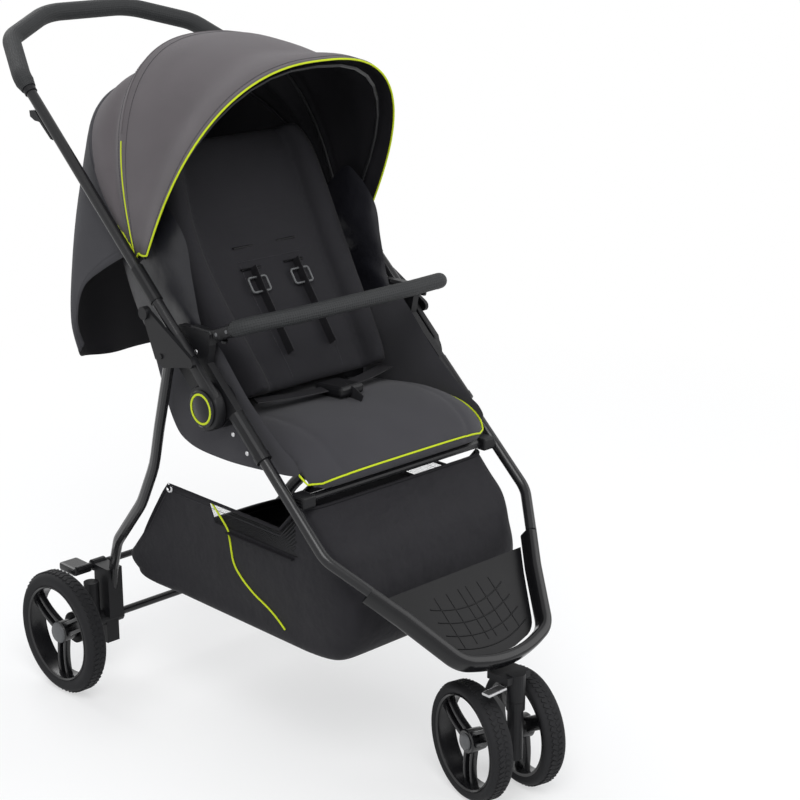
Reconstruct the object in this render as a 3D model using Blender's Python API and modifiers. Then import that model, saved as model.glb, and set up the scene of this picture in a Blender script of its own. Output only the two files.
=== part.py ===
"""Three-wheel folding stroller with a reclining seat, canopy, basket and swivel front caster.

Metres, +Z up. The stroller faces -Y and stands on the plane Z = 0, centred on X = 0.
The side frames and the front hoop lie in one plane that slopes up to the rear, and the
handle folds forward about the two side hubs.
"""
import math

import bmesh
import bpy
from mathutils import Matrix, Vector

OBJECT_NAME = "travel_system_stroller"
SIDES = (("right", -1), ("left", 1))
GAP = 0.0003
CENTER_Y = 0.0083

# The sloping plane of the frame tubes; distances along it count up from this point
SLOPE = math.radians(42.0)
PLANE_Y = -0.1036
PLANE_Z = 0.5648
HUB_S = 0.0215
HUB_LIFT = -0.0295

# Front frame
FRONT_TUBE_X = 0.2065
FRONT_TUBE_R = 0.0083
FRONT_TUBE_TOP = -0.052
FRONT_BEND = -0.268
SLEEVE_X = 0.167
SLEEVE_S = -0.335
SOCKET_R = 0.0112
SOCKET_START = -0.016
COLLAR_R = 0.0122
SOCKET_END = -0.097
HOOP_LIFT = -0.008
HOOP_THICKNESS = 0.018
HOOP_HEIGHT = 0.029
HOOP_SHOULDER = (0.136, -0.386)
HOOP_CORNER = (0.088, -0.478)
HOOP_NOSE = (0.0, -0.507)
FOOTPLATE_THICKNESS = 0.004
FOOTPLATE_LIFT = -0.020

# Side plates and hubs
PLATE_X = (0.1990, 0.2110)
BARREL_X = (0.1915, 0.2110)
BARREL_R = 0.034
DISC_X = (0.2125, 0.2290)
CAP_FACE = 0.2334
CAP_R = 0.028
LUG_X = (0.2185, 0.2290)
BRACKET_Y = (-0.0655, -0.0150)
BRACKET_Z = (0.6460, 0.6680)

# Handle
HANDLE_X_HUB = 0.2235
HANDLE_X_TOP = 0.2195
HANDLE_TUBE_R = 0.0083
HANDLE_TOP = 0.611
HANDLE_SLEEVE_R = 0.0092
HANDLE_SLEEVE = (0.086, 0.130)
GRIP_SLOPE = math.radians(31.5)
GRIP_R = 0.0145
GRIP_CORNER = (0.180, 0.122)
GRIP_SHOULDER = (0.080, 0.178)

# Rear legs and axle
LEG_PIVOT_S = 0.125
LEG_PIVOT_LIFT = -0.0376
LEG_PIN_R = 0.004
LEG_HEAD_X = (0.2328, 0.2388)
LEG_HEAD_WIDTH = 0.0085
KNOB = (0.0507, 0.6791)
KNOB_R = 0.0100
RIVET = (-0.0503, 0.6235)
LEG_DEPTH = 0.021
LEG_THICKNESS = 0.013
LEG_ROUTE = ((0.2215, 0.0120, 0.6285), (0.2120, 0.0630, 0.4900), (0.2050, 0.0880, 0.4250),
             (0.1990, 0.1330, 0.3500), (0.1850, 0.2220, 0.2580), (0.1720, 0.2560, 0.2020),
             (0.1680, 0.2700, 0.1500))
AXLE_Y = 0.2829
AXLE_R = 0.0065
PIN_R = 0.0040
BRAKE_Y = 0.3035
BRAKE_Z = 0.1900
BRAKE_R = 0.0055
BRAKE_X = (-0.214, 0.186)
PEDAL_X = (-0.220, -0.184)
PEDAL_Y = (0.2995, 0.3455)
PEDAL_Z = (0.180, 0.194)
FOOT_X = (0.156, 0.184)
FOOT_Y = (0.2570, 0.2960)
FOOT_Z = (0.1100, 0.1950)
FOOT_TAIL_X = (0.158, 0.182)
FOOT_TAIL_Y = (0.2700, 0.2950)
FOOT_TAIL_Z = (0.0600, 0.1050)
CARRIER_X = (0.146, 0.2385)
CARRIER_R = 0.0135
DRUM_X = 0.222
DRUM_R = 0.0260
SPRING_X = 0.200
SPRING_TOP = 0.172
SPRING_R = 0.0125
CLIP_R = 0.0095

# Wheels
REAR_R = 0.1022
REAR_RIM_R = 0.0797
REAR_OUTER_X = 0.2757
REAR_WIDTH = 0.0357
FRONT_R = 0.0896
FRONT_RIM_R = 0.0733
FRONT_OUTER = 0.0636
FRONT_WIDTH = 0.0361
RIM_WALL = 0.0045
WHEEL_HUB_R = 0.0170
REAR_CAP_R = 0.0175
FRONT_CAP_R = 0.0130
SPOKE_ANGLES = (math.radians(150), math.radians(30), math.radians(270))
SPOKE_START = 0.0125
SPOKE_OFFSET = 0.0085
SPOKE_WIDTH = 0.007
SPOKE_DEPTH = 0.012

# Caster
STEM_Y = -0.478
STEM_R = 0.0140
CASTER_ANGLE = math.radians(-13.3)
CASTER_TRAIL = 0.0445
HOUSING_Z = (0.1625, 0.2049)
FORK_R = 0.0118
FORK_BOTTOM = 0.070
FORK_BOSS_R = 0.0125
FORK_BOSS_HALF = 0.0270
FORK_ARM_HALF = 0.0095
FORK_ARM_Z = (0.074, 0.110)
SADDLE_HALF = 0.024
LEVER_X = (-0.062, -0.0255)
LEVER_Y = (-0.485, -0.469)
LEVER_Z = (0.1880, 0.1925)

# Bumper bar
BUMPER_X = 0.200
BUMPER_ARM_Y = (-0.0715, -0.1080)
BUMPER_ARM_Z = (0.6625, 0.6775)
BUMPER_CORNER = (-0.1300, 0.68654)
BUMPER_NOSE = (-0.1390, 0.6875)
BUMPER_GRIP_R = 0.0122
BUMPER_ARM_R = 0.0095

# Seat
PAD_THICKNESS = 0.028
PAD_ROUTE = ((0.030, 0.498), (-0.030, 0.505), (-0.085, 0.511), (-0.140, 0.515), (-0.195, 0.508),
             (-0.230, 0.488), (-0.250, 0.464))
PAD_HALF_WIDTHS = (0.165, 0.170, 0.176, 0.182, 0.184, 0.1845, 0.174)
PAD_CROWN = 0.012
BACK_ROUTE = ((-0.066, 0.556), (-0.040, 0.592), (-0.004, 0.640), (0.030, 0.686), (0.062, 0.735),
              (0.085, 0.780), (0.104, 0.825), (0.122, 0.870), (0.140, 0.905))
BACK_HALF_WIDTHS = (0.142, 0.150, 0.158, 0.165, 0.170, 0.170, 0.166, 0.158, 0.140)
BACK_THICKNESS = 0.026
BOLSTER = 0.030
BACK_HINGE = (0.0, -0.050, 0.545)
STRAP_X = (0.030, 0.055)
STRAP_THICKNESS = 0.0025
PANEL_X = (0.1855, 0.1900)
PANEL_OUTLINE = ((0.160, 0.760), (0.088, 0.834), (0.050, 0.826), (0.012, 0.786), (0.000, 0.735),
                 (-0.012, 0.684), (-0.058, 0.640), (-0.122, 0.574), (-0.188, 0.522), (-0.203, 0.510),
                 (-0.200, 0.496), (-0.150, 0.478), (-0.060, 0.468), (0.020, 0.474), (0.060, 0.505),
                 (0.100, 0.600), (0.165, 0.720))
SEAT_BLOCK_X = (0.172, 0.1975)
SEAT_BLOCK_Y = (-0.2480, -0.2180)
SEAT_BLOCK_Z = (0.4400, 0.4590)
SEAT_BAR_R = 0.0065
BUCKLE_HALF = (0.024, 0.030, 0.008)
BUCKLE_CENTER = (0.0, -0.1080, 0.5492)
BUCKLE_TILT = math.radians(-4)

# Canopy
CANOPY_CLOTH = 0.0025
CANOPY_POWER = 2.55
CLAMP_S = (0.195, 0.258)
CLAMP_R = 0.0100
BOW_PIVOT_S = 0.272
BOW_PIVOT_LIFT = -0.004
BOW_R = 0.0034
BOW_HALVES = (0.2075, 0.1990)

# Basket
BASKET_CLOTH = 0.0025
FRONT_CORNER = 0.13
REAR_CORNER = 0.30
RIM_HEM_Z = 0.434
RIM_SIDE_Z = 0.391
RIM_REAR_Z = 0.255
RIM_HEM_V = (0.74, 0.92)
RIM_REAR_V = (0.45, 0.90)
CURTAIN_CLOTH = 0.0025

COLORS = {
    "frame_black": ((0.020, 0.020, 0.022), 0.35, 0.0),
    "plastic_black": ((0.018, 0.018, 0.019), 0.48, 0.0),
    "grip_foam": ((0.020, 0.021, 0.022), 0.75, 0.0),
    "tyre_rubber": ((0.032, 0.033, 0.034), 0.70, 0.0),
    "rim_black": ((0.022, 0.022, 0.023), 0.32, 0.0),
    "cap_grey": ((0.110, 0.112, 0.115), 0.45, 0.0),
    "steel": ((0.60, 0.60, 0.60), 0.30, 1.0),
    "fabric_grey": ((0.085, 0.078, 0.076), 0.90, 0.0),
    "fabric_dark": ((0.040, 0.039, 0.043), 0.88, 0.0),
    "fabric_black": ((0.011, 0.011, 0.013), 0.85, 0.0),
    "webbing": ((0.012, 0.012, 0.013), 0.80, 0.0),
}


def clear_scene():
    for old in list(bpy.data.objects):
        bpy.data.objects.remove(old, do_unlink=True)


def make_collection(name):
    collection = bpy.data.collections.new(name)
    bpy.context.scene.collection.children.link(collection)
    return collection


def make_material(name, key):
    color, roughness, metallic = COLORS[key]
    material = bpy.data.materials.new(name)
    material.use_nodes = True
    shader = material.node_tree.nodes["Principled BSDF"]
    shader.inputs["Base Color"].default_value = (*color, 1.0)
    shader.inputs["Roughness"].default_value = roughness
    shader.inputs["Metallic"].default_value = metallic
    material.diffuse_color = (*color, 1.0)
    return material


def frame_point(along, lift=0.0):
    """(y, z) of a point at a distance along the frame plane, lifted off it."""
    y = PLANE_Y + along * math.cos(SLOPE) - lift * math.sin(SLOPE)
    z = PLANE_Z + along * math.sin(SLOPE) + lift * math.cos(SLOPE)
    return y, z


def handle_x(along):
    return HANDLE_X_HUB + (HANDLE_X_TOP - HANDLE_X_HUB) * along / HANDLE_TOP


def grip_point(x, along):
    """Point of the handlebar, which bends down a little from the side tubes' plane."""
    y0, z0 = frame_point(HANDLE_TOP)
    return Vector((x, y0 + along * math.cos(GRIP_SLOPE), z0 + along * math.sin(GRIP_SLOPE)))


HUB_Y, HUB_Z = frame_point(HUB_S, HUB_LIFT)
HUB = (0.0, HUB_Y, HUB_Z)
LEG_PIVOT = frame_point(LEG_PIVOT_S, LEG_PIVOT_LIFT)
BOW_PIVOT = frame_point(BOW_PIVOT_S, BOW_PIVOT_LIFT)


def rounded_path(points, radii, steps=5):
    """The polyline through the points, with each inner corner replaced by an arc."""
    corners = [Vector(point) for point in points]
    path = [corners[0]]
    for index in range(1, len(corners) - 1):
        before, corner, after = corners[index - 1], corners[index], corners[index + 1]
        to_before = (before - corner).normalized()
        to_after = (after - corner).normalized()
        half = to_before.angle(to_after) / 2.0
        reach = radii[index - 1] / math.tan(half)
        start = corner + to_before * reach
        end = corner + to_after * reach
        center = corner + (to_before + to_after).normalized() * (radii[index - 1] / math.sin(half))
        first, last = start - center, end - center
        sweep = first.angle(last)
        for step in range(steps + 1):
            t = step / steps
            point = (math.sin((1 - t) * sweep) * first + math.sin(t * sweep) * last) / math.sin(sweep)
            path.append(center + point)
    path.append(corners[-1])
    return path


def link(obj, key, collection=None):
    (collection or PARTS).objects.link(obj)
    if key:
        obj.data.materials.append(make_material(obj.name, key))
    return obj


def rehome(obj, origin):
    """Moves a mesh or curve object's origin to the given point, and leaves its shape in place."""
    offset = Matrix.Translation(-Vector(origin))
    obj.data.transform(offset @ obj.matrix_basis)
    obj.matrix_basis = Matrix.Translation(Vector(origin))
    return obj


def shade(obj, degrees=35):
    obj.data.shade_smooth()
    obj.data.set_sharp_from_angle(angle=math.radians(degrees))
    return obj


def tube(name, path, radius, key, sides=12, profile=None, collection=None, twist="MINIMUM"):
    """A rod or tube along a path: round, or with the outline of a guide curve."""
    curve = bpy.data.curves.new(name, "CURVE")
    curve.dimensions = "3D"
    curve.fill_mode = "FULL"
    curve.twist_mode = twist
    curve.use_fill_caps = True
    if profile is None:
        curve.bevel_depth = radius
        curve.bevel_resolution = (sides - 4) // 2
    else:
        curve.bevel_mode = "OBJECT"
        curve.bevel_object = profile
    spline = curve.splines.new("POLY")
    spline.points.add(len(path) - 1)
    for target, point in zip(spline.points, path):
        target.co = (*point, 1.0)
    spline.use_smooth = True
    return link(bpy.data.objects.new(name, curve), key, collection)


def outline_guide(name, half_width, half_height, power=2.0, count=16):
    """A closed guide curve with a superellipse outline, swept by tube()."""
    curve = bpy.data.curves.new(name, "CURVE")
    curve.dimensions = "2D"
    spline = curve.splines.new("POLY")
    spline.points.add(count - 1)
    spline.use_cyclic_u = True
    for index, target in enumerate(spline.points):
        angle = 2.0 * math.pi * (index + 0.5) / count
        x = half_width * math.copysign(abs(math.cos(angle)) ** (2.0 / power), math.cos(angle))
        y = half_height * math.copysign(abs(math.sin(angle)) ** (2.0 / power), math.sin(angle))
        target.co = (x, y, 0.0, 1.0)
    guide = bpy.data.objects.new(name, curve)
    guide.hide_render = True
    guide.display_type = "WIRE"
    CUTTERS.objects.link(guide)
    return guide


def to_mesh(obj, key=None, collection=None):
    """Replaces a curve object with a welded mesh object of the same name and place."""
    bpy.context.view_layer.update()
    depsgraph = bpy.context.evaluated_depsgraph_get()
    mesh = bpy.data.meshes.new_from_object(obj.evaluated_get(depsgraph))
    work = bmesh.new()
    work.from_mesh(mesh)
    bmesh.ops.remove_doubles(work, verts=work.verts, dist=0.00001)
    bmesh.ops.recalc_face_normals(work, faces=work.faces)
    work.to_mesh(mesh)
    work.free()
    name, matrix = obj.name, obj.matrix_world.copy()
    data = obj.data
    bpy.data.objects.remove(obj, do_unlink=True)
    bpy.data.curves.remove(data)
    made = bpy.data.objects.new(name, mesh)
    made.matrix_world = matrix
    (collection or PARTS).objects.link(made)
    if key and not mesh.materials:
        mesh.materials.append(make_material(name, key))
    return made


def cylinder(name, start, end, radius, key, sides=24, collection=None):
    """A cylinder between two points."""
    start, end = Vector(start), Vector(end)
    work = bmesh.new()
    bmesh.ops.create_cone(work, cap_ends=True, segments=sides, radius1=radius, radius2=radius,
                          depth=(end - start).length)
    mesh = bpy.data.meshes.new(name)
    work.to_mesh(mesh)
    work.free()
    turn = Vector((0, 0, 1)).rotation_difference(end - start).to_matrix().to_4x4()
    mesh.transform(Matrix.Translation((start + end) / 2) @ turn)
    return link(bpy.data.objects.new(name, mesh), key, collection)


def box(name, low, high, key, collection=None):
    low, high = Vector(low), Vector(high)
    work = bmesh.new()
    bmesh.ops.create_cube(work, size=1.0)
    bmesh.ops.scale(work, vec=high - low, verts=work.verts)
    bmesh.ops.translate(work, vec=(low + high) / 2, verts=work.verts)
    mesh = bpy.data.meshes.new(name)
    work.to_mesh(mesh)
    work.free()
    return link(bpy.data.objects.new(name, mesh), key, collection)


def side_rod(name, side, x_range, center, radius, key=None, sides=24):
    """A cylinder along X on one side, given by its left-hand range and its (y, z) center."""
    return cylinder(name, (x_range[0] * side, *center), (x_range[1] * side, *center), radius, key, sides)


def side_box(name, side, x_range, y_range, z_range, key):
    """A box on the right (side -1) or left (side 1), given by its left-hand ranges."""
    x_low, x_high = sorted((x_range[0] * side, x_range[1] * side))
    return box(name, (x_low, y_range[0], z_range[0]), (x_high, y_range[1], z_range[1]), key)


def plate(name, outline, x_range, key, collection=None, matrix=None):
    """A flat plate: an outline of (y, z) points, extruded along X over the given range."""
    curve = bpy.data.curves.new(name, "CURVE")
    curve.dimensions = "2D"
    curve.fill_mode = "BOTH"
    curve.extrude = abs(x_range[1] - x_range[0]) / 2
    spline = curve.splines.new("POLY")
    spline.points.add(len(outline) - 1)
    spline.use_cyclic_u = True
    for target, (u, v) in zip(spline.points, outline):
        target.co = (u, v, 0.0, 1.0)
    obj = bpy.data.objects.new(name, curve)
    middle = (x_range[0] + x_range[1]) / 2
    upright = Matrix(((0, 0, 1, middle), (1, 0, 0, 0), (0, 1, 0, 0), (0, 0, 0, 1)))
    obj.matrix_world = upright if matrix is None else matrix
    link(obj, key, collection)
    return to_mesh(obj, key, collection)


def bevel(obj, width, segments=2):
    modifier = obj.modifiers.new("edges", "BEVEL")
    modifier.width = width
    modifier.segments = segments
    modifier.limit_method = "ANGLE"
    modifier.angle_limit = math.radians(50)
    return obj


def boolean(obj, other, operation):
    """Joins or cuts with another object, which moves to the cutters."""
    for collection in list(other.users_collection):
        collection.objects.unlink(other)
    CUTTERS.objects.link(other)
    other.hide_render = True
    other.display_type = "WIRE"
    modifier = obj.modifiers.new(operation.lower(), "BOOLEAN")
    modifier.operation = operation
    modifier.object = other
    modifier.solver = "EXACT"
    return obj


def bake(obj):
    """Applies an object's modifiers to its mesh."""
    bpy.context.view_layer.update()
    depsgraph = bpy.context.evaluated_depsgraph_get()
    mesh = bpy.data.meshes.new_from_object(obj.evaluated_get(depsgraph))
    old = obj.data
    obj.modifiers.clear()
    obj.data = mesh
    bpy.data.meshes.remove(old)
    return obj


def turned(name, profile, start, axis, key, steps=32, collection=None):
    """A solid of revolution: (radius, height) points that run down the outer side."""
    mesh = bpy.data.meshes.new(name)
    count = len(profile)
    edges = [(index, (index + 1) % count) for index in range(count)]
    mesh.from_pydata([(radius, 0.0, height) for radius, height in profile], edges, [])
    obj = bpy.data.objects.new(name, mesh)
    link(obj, key, collection)
    screw = obj.modifiers.new("turn", "SCREW")
    screw.angle = 2 * math.pi
    screw.steps = steps
    screw.render_steps = steps
    screw.use_merge_vertices = True
    screw.merge_threshold = 0.00005
    screw.use_smooth_shade = True
    bake(obj)
    turn = Vector((0, 0, 1)).rotation_difference(Vector(axis)).to_matrix().to_4x4()
    obj.data.transform(Matrix.Translation(Vector(start)) @ turn)
    return shade(obj)


def loft(name, rings, key, closed=True, collection=None):
    """Faces between rings of equal length; closed rings with capped ends, or an open grid."""
    work = bmesh.new()
    rows = [[work.verts.new(point) for point in ring] for ring in rings]
    count = len(rings[0])
    span = count if closed else count - 1
    for low, high in zip(rows, rows[1:]):
        for index in range(span):
            after = (index + 1) % count
            work.faces.new((low[index], low[after], high[after], high[index]))
    if closed:
        work.faces.new(rows[0][::-1])
        work.faces.new(rows[-1])
        bmesh.ops.recalc_face_normals(work, faces=work.faces)
    mesh = bpy.data.meshes.new(name)
    work.to_mesh(mesh)
    work.free()
    return shade(link(bpy.data.objects.new(name, mesh), key, collection), 60)


def thicken(obj, thickness, offset):
    modifier = obj.modifiers.new("cloth", "SOLIDIFY")
    modifier.thickness = thickness
    modifier.offset = offset
    modifier.use_even_offset = False
    return obj


def mirror_x(point, side):
    return Vector((point[0] * side, point[1], point[2]))


def in_frame(x, along, lift=0.0):
    return Vector((x, *frame_point(along, lift)))


def on_handle(side, along):
    return in_frame(handle_x(along) * side, along)


# Front frame

def front_tubes():
    for label, side in SIDES:
        corners = [in_frame(FRONT_TUBE_X * side, FRONT_TUBE_TOP),
                   in_frame(FRONT_TUBE_X * side, FRONT_BEND),
                   in_frame(SLEEVE_X * side, SLEEVE_S + GAP)]
        tube(f"front_tube_{label}", rounded_path(corners, [0.05]), FRONT_TUBE_R, "frame_black")


def hoop_path(inset=0.0, lift=HOOP_LIFT, extra=0.0):
    shoulder_x, shoulder_s = HOOP_SHOULDER
    corner_x, corner_s = HOOP_CORNER
    nose_s = HOOP_NOSE[1]
    lean = (SLEEVE_X - shoulder_x) / (SLEEVE_S - shoulder_s)
    half = [(SLEEVE_X - inset - extra * lean, SLEEVE_S - extra), (shoulder_x - inset, shoulder_s),
            (corner_x - inset * 0.8, corner_s + inset * 0.7), (0.0, nose_s + inset)]
    corners = half + [(-x, s) for x, s in reversed(half[:-1])]
    points = [in_frame(x, s, lift) for x, s in corners]
    return rounded_path(points, [0.09, 0.045, 0.20, 0.045, 0.09], steps=4)


def front_hoop():
    guide = outline_guide("hoop_outline", HOOP_THICKNESS / 2, HOOP_HEIGHT / 2, power=4.0, count=12)
    shade(to_mesh(tube("front_hoop", hoop_path(), 0.0, "plastic_black", profile=guide, twist="Z_UP")))


def footplate():
    """Foot rest inside the hoop, in the frame plane."""
    inset = HOOP_THICKNESS / 2 + 0.0035
    edge = hoop_path(inset=inset, lift=FOOTPLATE_LIFT, extra=0.012)
    uphill = Vector((0, math.cos(SLOPE), math.sin(SLOPE)))
    normal = Vector((0, -math.sin(SLOPE), math.cos(SLOPE)))
    base = in_frame(0.0, 0.0, FOOTPLATE_LIFT)
    outline = [(point.x, (point - base).dot(uphill)) for point in edge]
    matrix = Matrix(((1, uphill.x, normal.x, base.x), (0, uphill.y, normal.y, base.y),
                     (0, uphill.z, normal.z, base.z), (0, 0, 0, 1)))
    plate("footplate", outline, (0.0, FOOTPLATE_THICKNESS), "plastic_black", matrix=matrix)


def caster_housing():
    low, high = HOUSING_Z
    body = cylinder("caster_housing", (0, STEM_Y, low), (0, STEM_Y, high), STEM_R, "plastic_black")
    saddle = box("housing_saddle", (-SADDLE_HALF, STEM_Y - 0.006, high - 0.012),
                 (SADDLE_HALF, STEM_Y + 0.034, high - 0.001), None)
    boolean(body, saddle, "UNION")
    shade(bake(body))


def swivel_lock_lever():
    lever = side_box("swivel_lock_lever", 1, LEVER_X, LEVER_Y, LEVER_Z, "steel")
    bevel(lever, 0.0015)
    rehome(lever, (LEVER_X[1], STEM_Y, sum(LEVER_Z) / 2))


# Side plates, hubs and handle

def side_plates():
    """Inner half of each fold joint, with the front tube's socket and the bumper bracket."""
    outline = [frame_point(SOCKET_START, -0.010), frame_point(HUB_S, HUB_LIFT - 0.030),
               frame_point(0.060, -0.052), frame_point(0.112, -0.050), frame_point(0.138, -0.046),
               frame_point(0.141, -0.030),
               frame_point(0.150, -0.002), (0.004, 0.6660), (-0.0620, 0.6660), (-0.0650, 0.6630),
               (-0.0650, 0.6470), frame_point(0.070, 0.011), frame_point(0.030, 0.010),
               frame_point(SOCKET_START, 0.010)]
    for label, side in SIDES:
        name = f"side_plate_{label}"
        body = plate(name, outline, (PLATE_X[0] * side, PLATE_X[1] * side), "plastic_black")
        barrel = side_rod(f"{name}_barrel", side, BARREL_X, HUB[1:], BARREL_R, sides=32)
        x = FRONT_TUBE_X * side
        socket = cylinder(f"{name}_socket", in_frame(x, SOCKET_START), in_frame(x, SOCKET_END), SOCKET_R, None,
                          sides=16)
        collar = cylinder(f"{name}_collar", in_frame(x, SOCKET_END + 0.010), in_frame(x, SOCKET_END - 0.001),
                          COLLAR_R, None, sides=16)
        pin = side_rod(f"{name}_pin", side, (PLATE_X[0], LEG_HEAD_X[1] + 0.002), LEG_PIVOT, LEG_PIN_R, sides=12)
        bore = cylinder(f"{name}_bore", in_frame(x, FRONT_TUBE_TOP + GAP), in_frame(x, SOCKET_END - 0.02),
                        FRONT_TUBE_R + GAP, None, sides=16)
        bracket = side_box(f"{name}_bracket", side, BARREL_X, BRACKET_Y, BRACKET_Z, None)
        bevel(bracket, 0.004, segments=1)
        for other in (barrel, socket, collar, pin, bake(bracket)):
            boolean(body, other, "UNION")
        boolean(body, bore, "DIFFERENCE")
        shade(bake(body))


def hub_discs():
    """Outer half of each fold joint, with the sleeve that holds the handle tube."""
    for label, side in SIDES:
        name = f"hub_disc_{label}"
        disc = side_rod(name, side, DISC_X, HUB[1:], BARREL_R, "plastic_black", sides=32)
        low, high = HANDLE_SLEEVE
        lug_outline = [frame_point(HUB_S, -HANDLE_SLEEVE_R - 0.004),
                       frame_point(low + 0.006, -HANDLE_SLEEVE_R + 0.001),
                       frame_point(low + 0.006, HANDLE_SLEEVE_R - 0.001),
                       frame_point(HUB_S, HANDLE_SLEEVE_R - 0.002), frame_point(HUB_S - 0.012, 0.0)]
        lug = plate(f"{name}_lug", lug_outline, (LUG_X[0] * side, LUG_X[1] * side), None, collection=CUTTERS)
        sleeve = cylinder(f"{name}_sleeve", on_handle(side, low), on_handle(side, high), HANDLE_SLEEVE_R, None,
                          sides=16)
        bore = cylinder(f"{name}_bore", on_handle(side, low + 0.002), on_handle(side, high + 0.07),
                        HANDLE_TUBE_R + GAP, None, sides=16)
        boolean(disc, lug, "UNION")
        boolean(disc, sleeve, "UNION")
        boolean(disc, bore, "DIFFERENCE")
        rehome(shade(bake(disc)), HUB)
        cap = turned(f"hub_cap_{label}",
                     [(0.0005, 0.0), (CAP_R - 0.005, 0.0), (CAP_R - 0.004, 0.0008), (CAP_R, 0.0008),
                      (CAP_R, -0.0038), (0.0005, -0.0038)],
                     (side * CAP_FACE, HUB_Y, HUB_Z), (side, 0, 0), "plastic_black", steps=24)
        rehome(cap, HUB)


def handle_tubes():
    for label, side in SIDES:
        path = [on_handle(side, HANDLE_SLEEVE[0] + 0.0023), on_handle(side, HANDLE_TOP - GAP)]
        rehome(tube(f"handle_tube_{label}", path, HANDLE_TUBE_R, "frame_black"), HUB)


def handlebar_grip():
    straight = HANDLE_TOP + 0.024
    half = [in_frame(handle_x(HANDLE_TOP), HANDLE_TOP), in_frame(handle_x(straight), straight),
            grip_point(*GRIP_CORNER), grip_point(*GRIP_SHOULDER)]
    corners = half + [mirror_x(point, -1) for point in reversed(half)]
    path = rounded_path(corners, [0.050, 0.045, 0.11, 0.11, 0.045, 0.050], steps=4)
    rehome(tube("handlebar_grip", path, GRIP_R, "grip_foam", sides=14), HUB)


def fold_hook():
    """Hook below the right handle tube, which holds the frame together when it is folded."""
    x = -handle_x(0.56)
    outline = [frame_point(0.575, -0.0092), frame_point(0.585, -0.020), frame_point(0.578, -0.026),
               frame_point(0.566, -0.022), frame_point(0.556, -0.014), frame_point(0.520, -0.0125),
               frame_point(0.515, -0.0092)]
    rehome(plate("fold_hook", outline, (x - 0.005, x + 0.005), "plastic_black"), HUB)


# Rear frame

def leg_path():
    return rounded_path(LEG_ROUTE, [0.40, 0.20, 0.12, 0.07, 0.07], steps=2)


def rear_legs():
    guide = outline_guide("leg_outline", LEG_THICKNESS / 2, LEG_DEPTH / 2, power=2.4, count=12)
    for label, side in SIDES:
        path = [mirror_x(point, side) for point in leg_path()]
        leg = to_mesh(tube(f"rear_leg_{label}", path, 0.0, "frame_black", profile=guide))
        bore = side_rod(f"rear_leg_{label}_bore", side, (PLATE_X[0], LEG_HEAD_X[1]), LEG_PIVOT, LEG_PIN_R + GAP,
                        sides=12)
        boolean(leg, bore, "DIFFERENCE")
        rehome(shade(bake(leg)), (0.0, *LEG_PIVOT))


def leg_heads():
    """Flat bar over each leg's top, from a rivet over the handle tube up to the side knob."""
    knob, rivet, pivot = Vector(KNOB), Vector(RIVET), Vector(LEG_PIVOT)
    run = (knob - rivet).normalized()
    across = Vector((-run.y, run.x))
    width = LEG_HEAD_WIDTH
    outline = []
    for center, start in ((rivet, math.pi / 2), (knob, -math.pi / 2)):
        for step in range(6):
            angle = start + math.pi * step / 5
            outline.append(center + run * (math.cos(angle) * width) + across * (math.sin(angle) * width))
        if center is rivet:
            outline += [pivot - across * 0.0125 - run * 0.012, pivot - across * 0.0125 + run * 0.010]
    for label, side in SIDES:
        name = f"leg_head_{label}"
        body = plate(name, outline, (LEG_HEAD_X[0] * side, LEG_HEAD_X[1] * side), "plastic_black")
        rosette = side_rod(f"{name}_knob", side, (LEG_HEAD_X[0], LEG_HEAD_X[1] + 0.004), knob, KNOB_R, sides=16)
        bore = side_rod(f"{name}_bore", side, (LEG_HEAD_X[0] - 0.01, LEG_HEAD_X[1] + 0.01), LEG_PIVOT,
                        LEG_PIN_R + GAP, sides=12)
        boolean(body, rosette, "UNION")
        boolean(body, bore, "DIFFERENCE")
        rehome(shade(bake(body)), (0.0, *LEG_PIVOT))


def leg_feet():
    """Lower leg brackets with the wheel carriers, spring housings and brake bar clips."""
    guide = outline_guide("foot_bore_outline", LEG_THICKNESS / 2 + GAP, LEG_DEPTH / 2 + GAP, power=2.4,
                          count=12)
    for label, side in SIDES:
        name = f"leg_foot_{label}"
        body = side_box(name, side, FOOT_X, FOOT_Y, FOOT_Z, "plastic_black")
        axle, brake = (AXLE_Y, REAR_R), (BRAKE_Y, BRAKE_Z)
        carrier = side_rod(f"{name}_carrier", side, CARRIER_X, axle, CARRIER_R, sides=20)
        drum = side_rod(f"{name}_drum", side, (DRUM_X, CARRIER_X[1]), axle, DRUM_R)
        spring = cylinder(f"{name}_spring", (SPRING_X * side, AXLE_Y, REAR_R),
                          (SPRING_X * side, AXLE_Y, SPRING_TOP), SPRING_R, None, sides=20)
        tail = side_box(f"{name}_tail", side, FOOT_TAIL_X, FOOT_TAIL_Y, FOOT_TAIL_Z, None)
        clip = side_rod(f"{name}_clip", side, FOOT_TAIL_X, brake, CLIP_R, sides=16)
        for other in (carrier, drum, spring, tail, clip):
            boolean(body, other, "UNION")
        through = (CARRIER_X[0] - 0.01, CARRIER_X[1] + 0.01)
        bore = side_rod(f"{name}_bore", side, through, axle, AXLE_R + GAP, sides=16)
        brake_bore = side_rod(f"{name}_brake_bore", side, through, brake, BRAKE_R + GAP, sides=16)
        path = [mirror_x(point, side) for point in leg_path()]
        path[-1] = path[-1] + (path[-1] - path[-2]).normalized() * GAP
        leg_bore = to_mesh(tube(f"{name}_leg_bore", path, 0.0, None, profile=guide))
        for other in (bore, brake_bore, leg_bore):
            boolean(body, other, "DIFFERENCE")
        rehome(shade(bake(body)), (0.0, *LEG_PIVOT))


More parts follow.
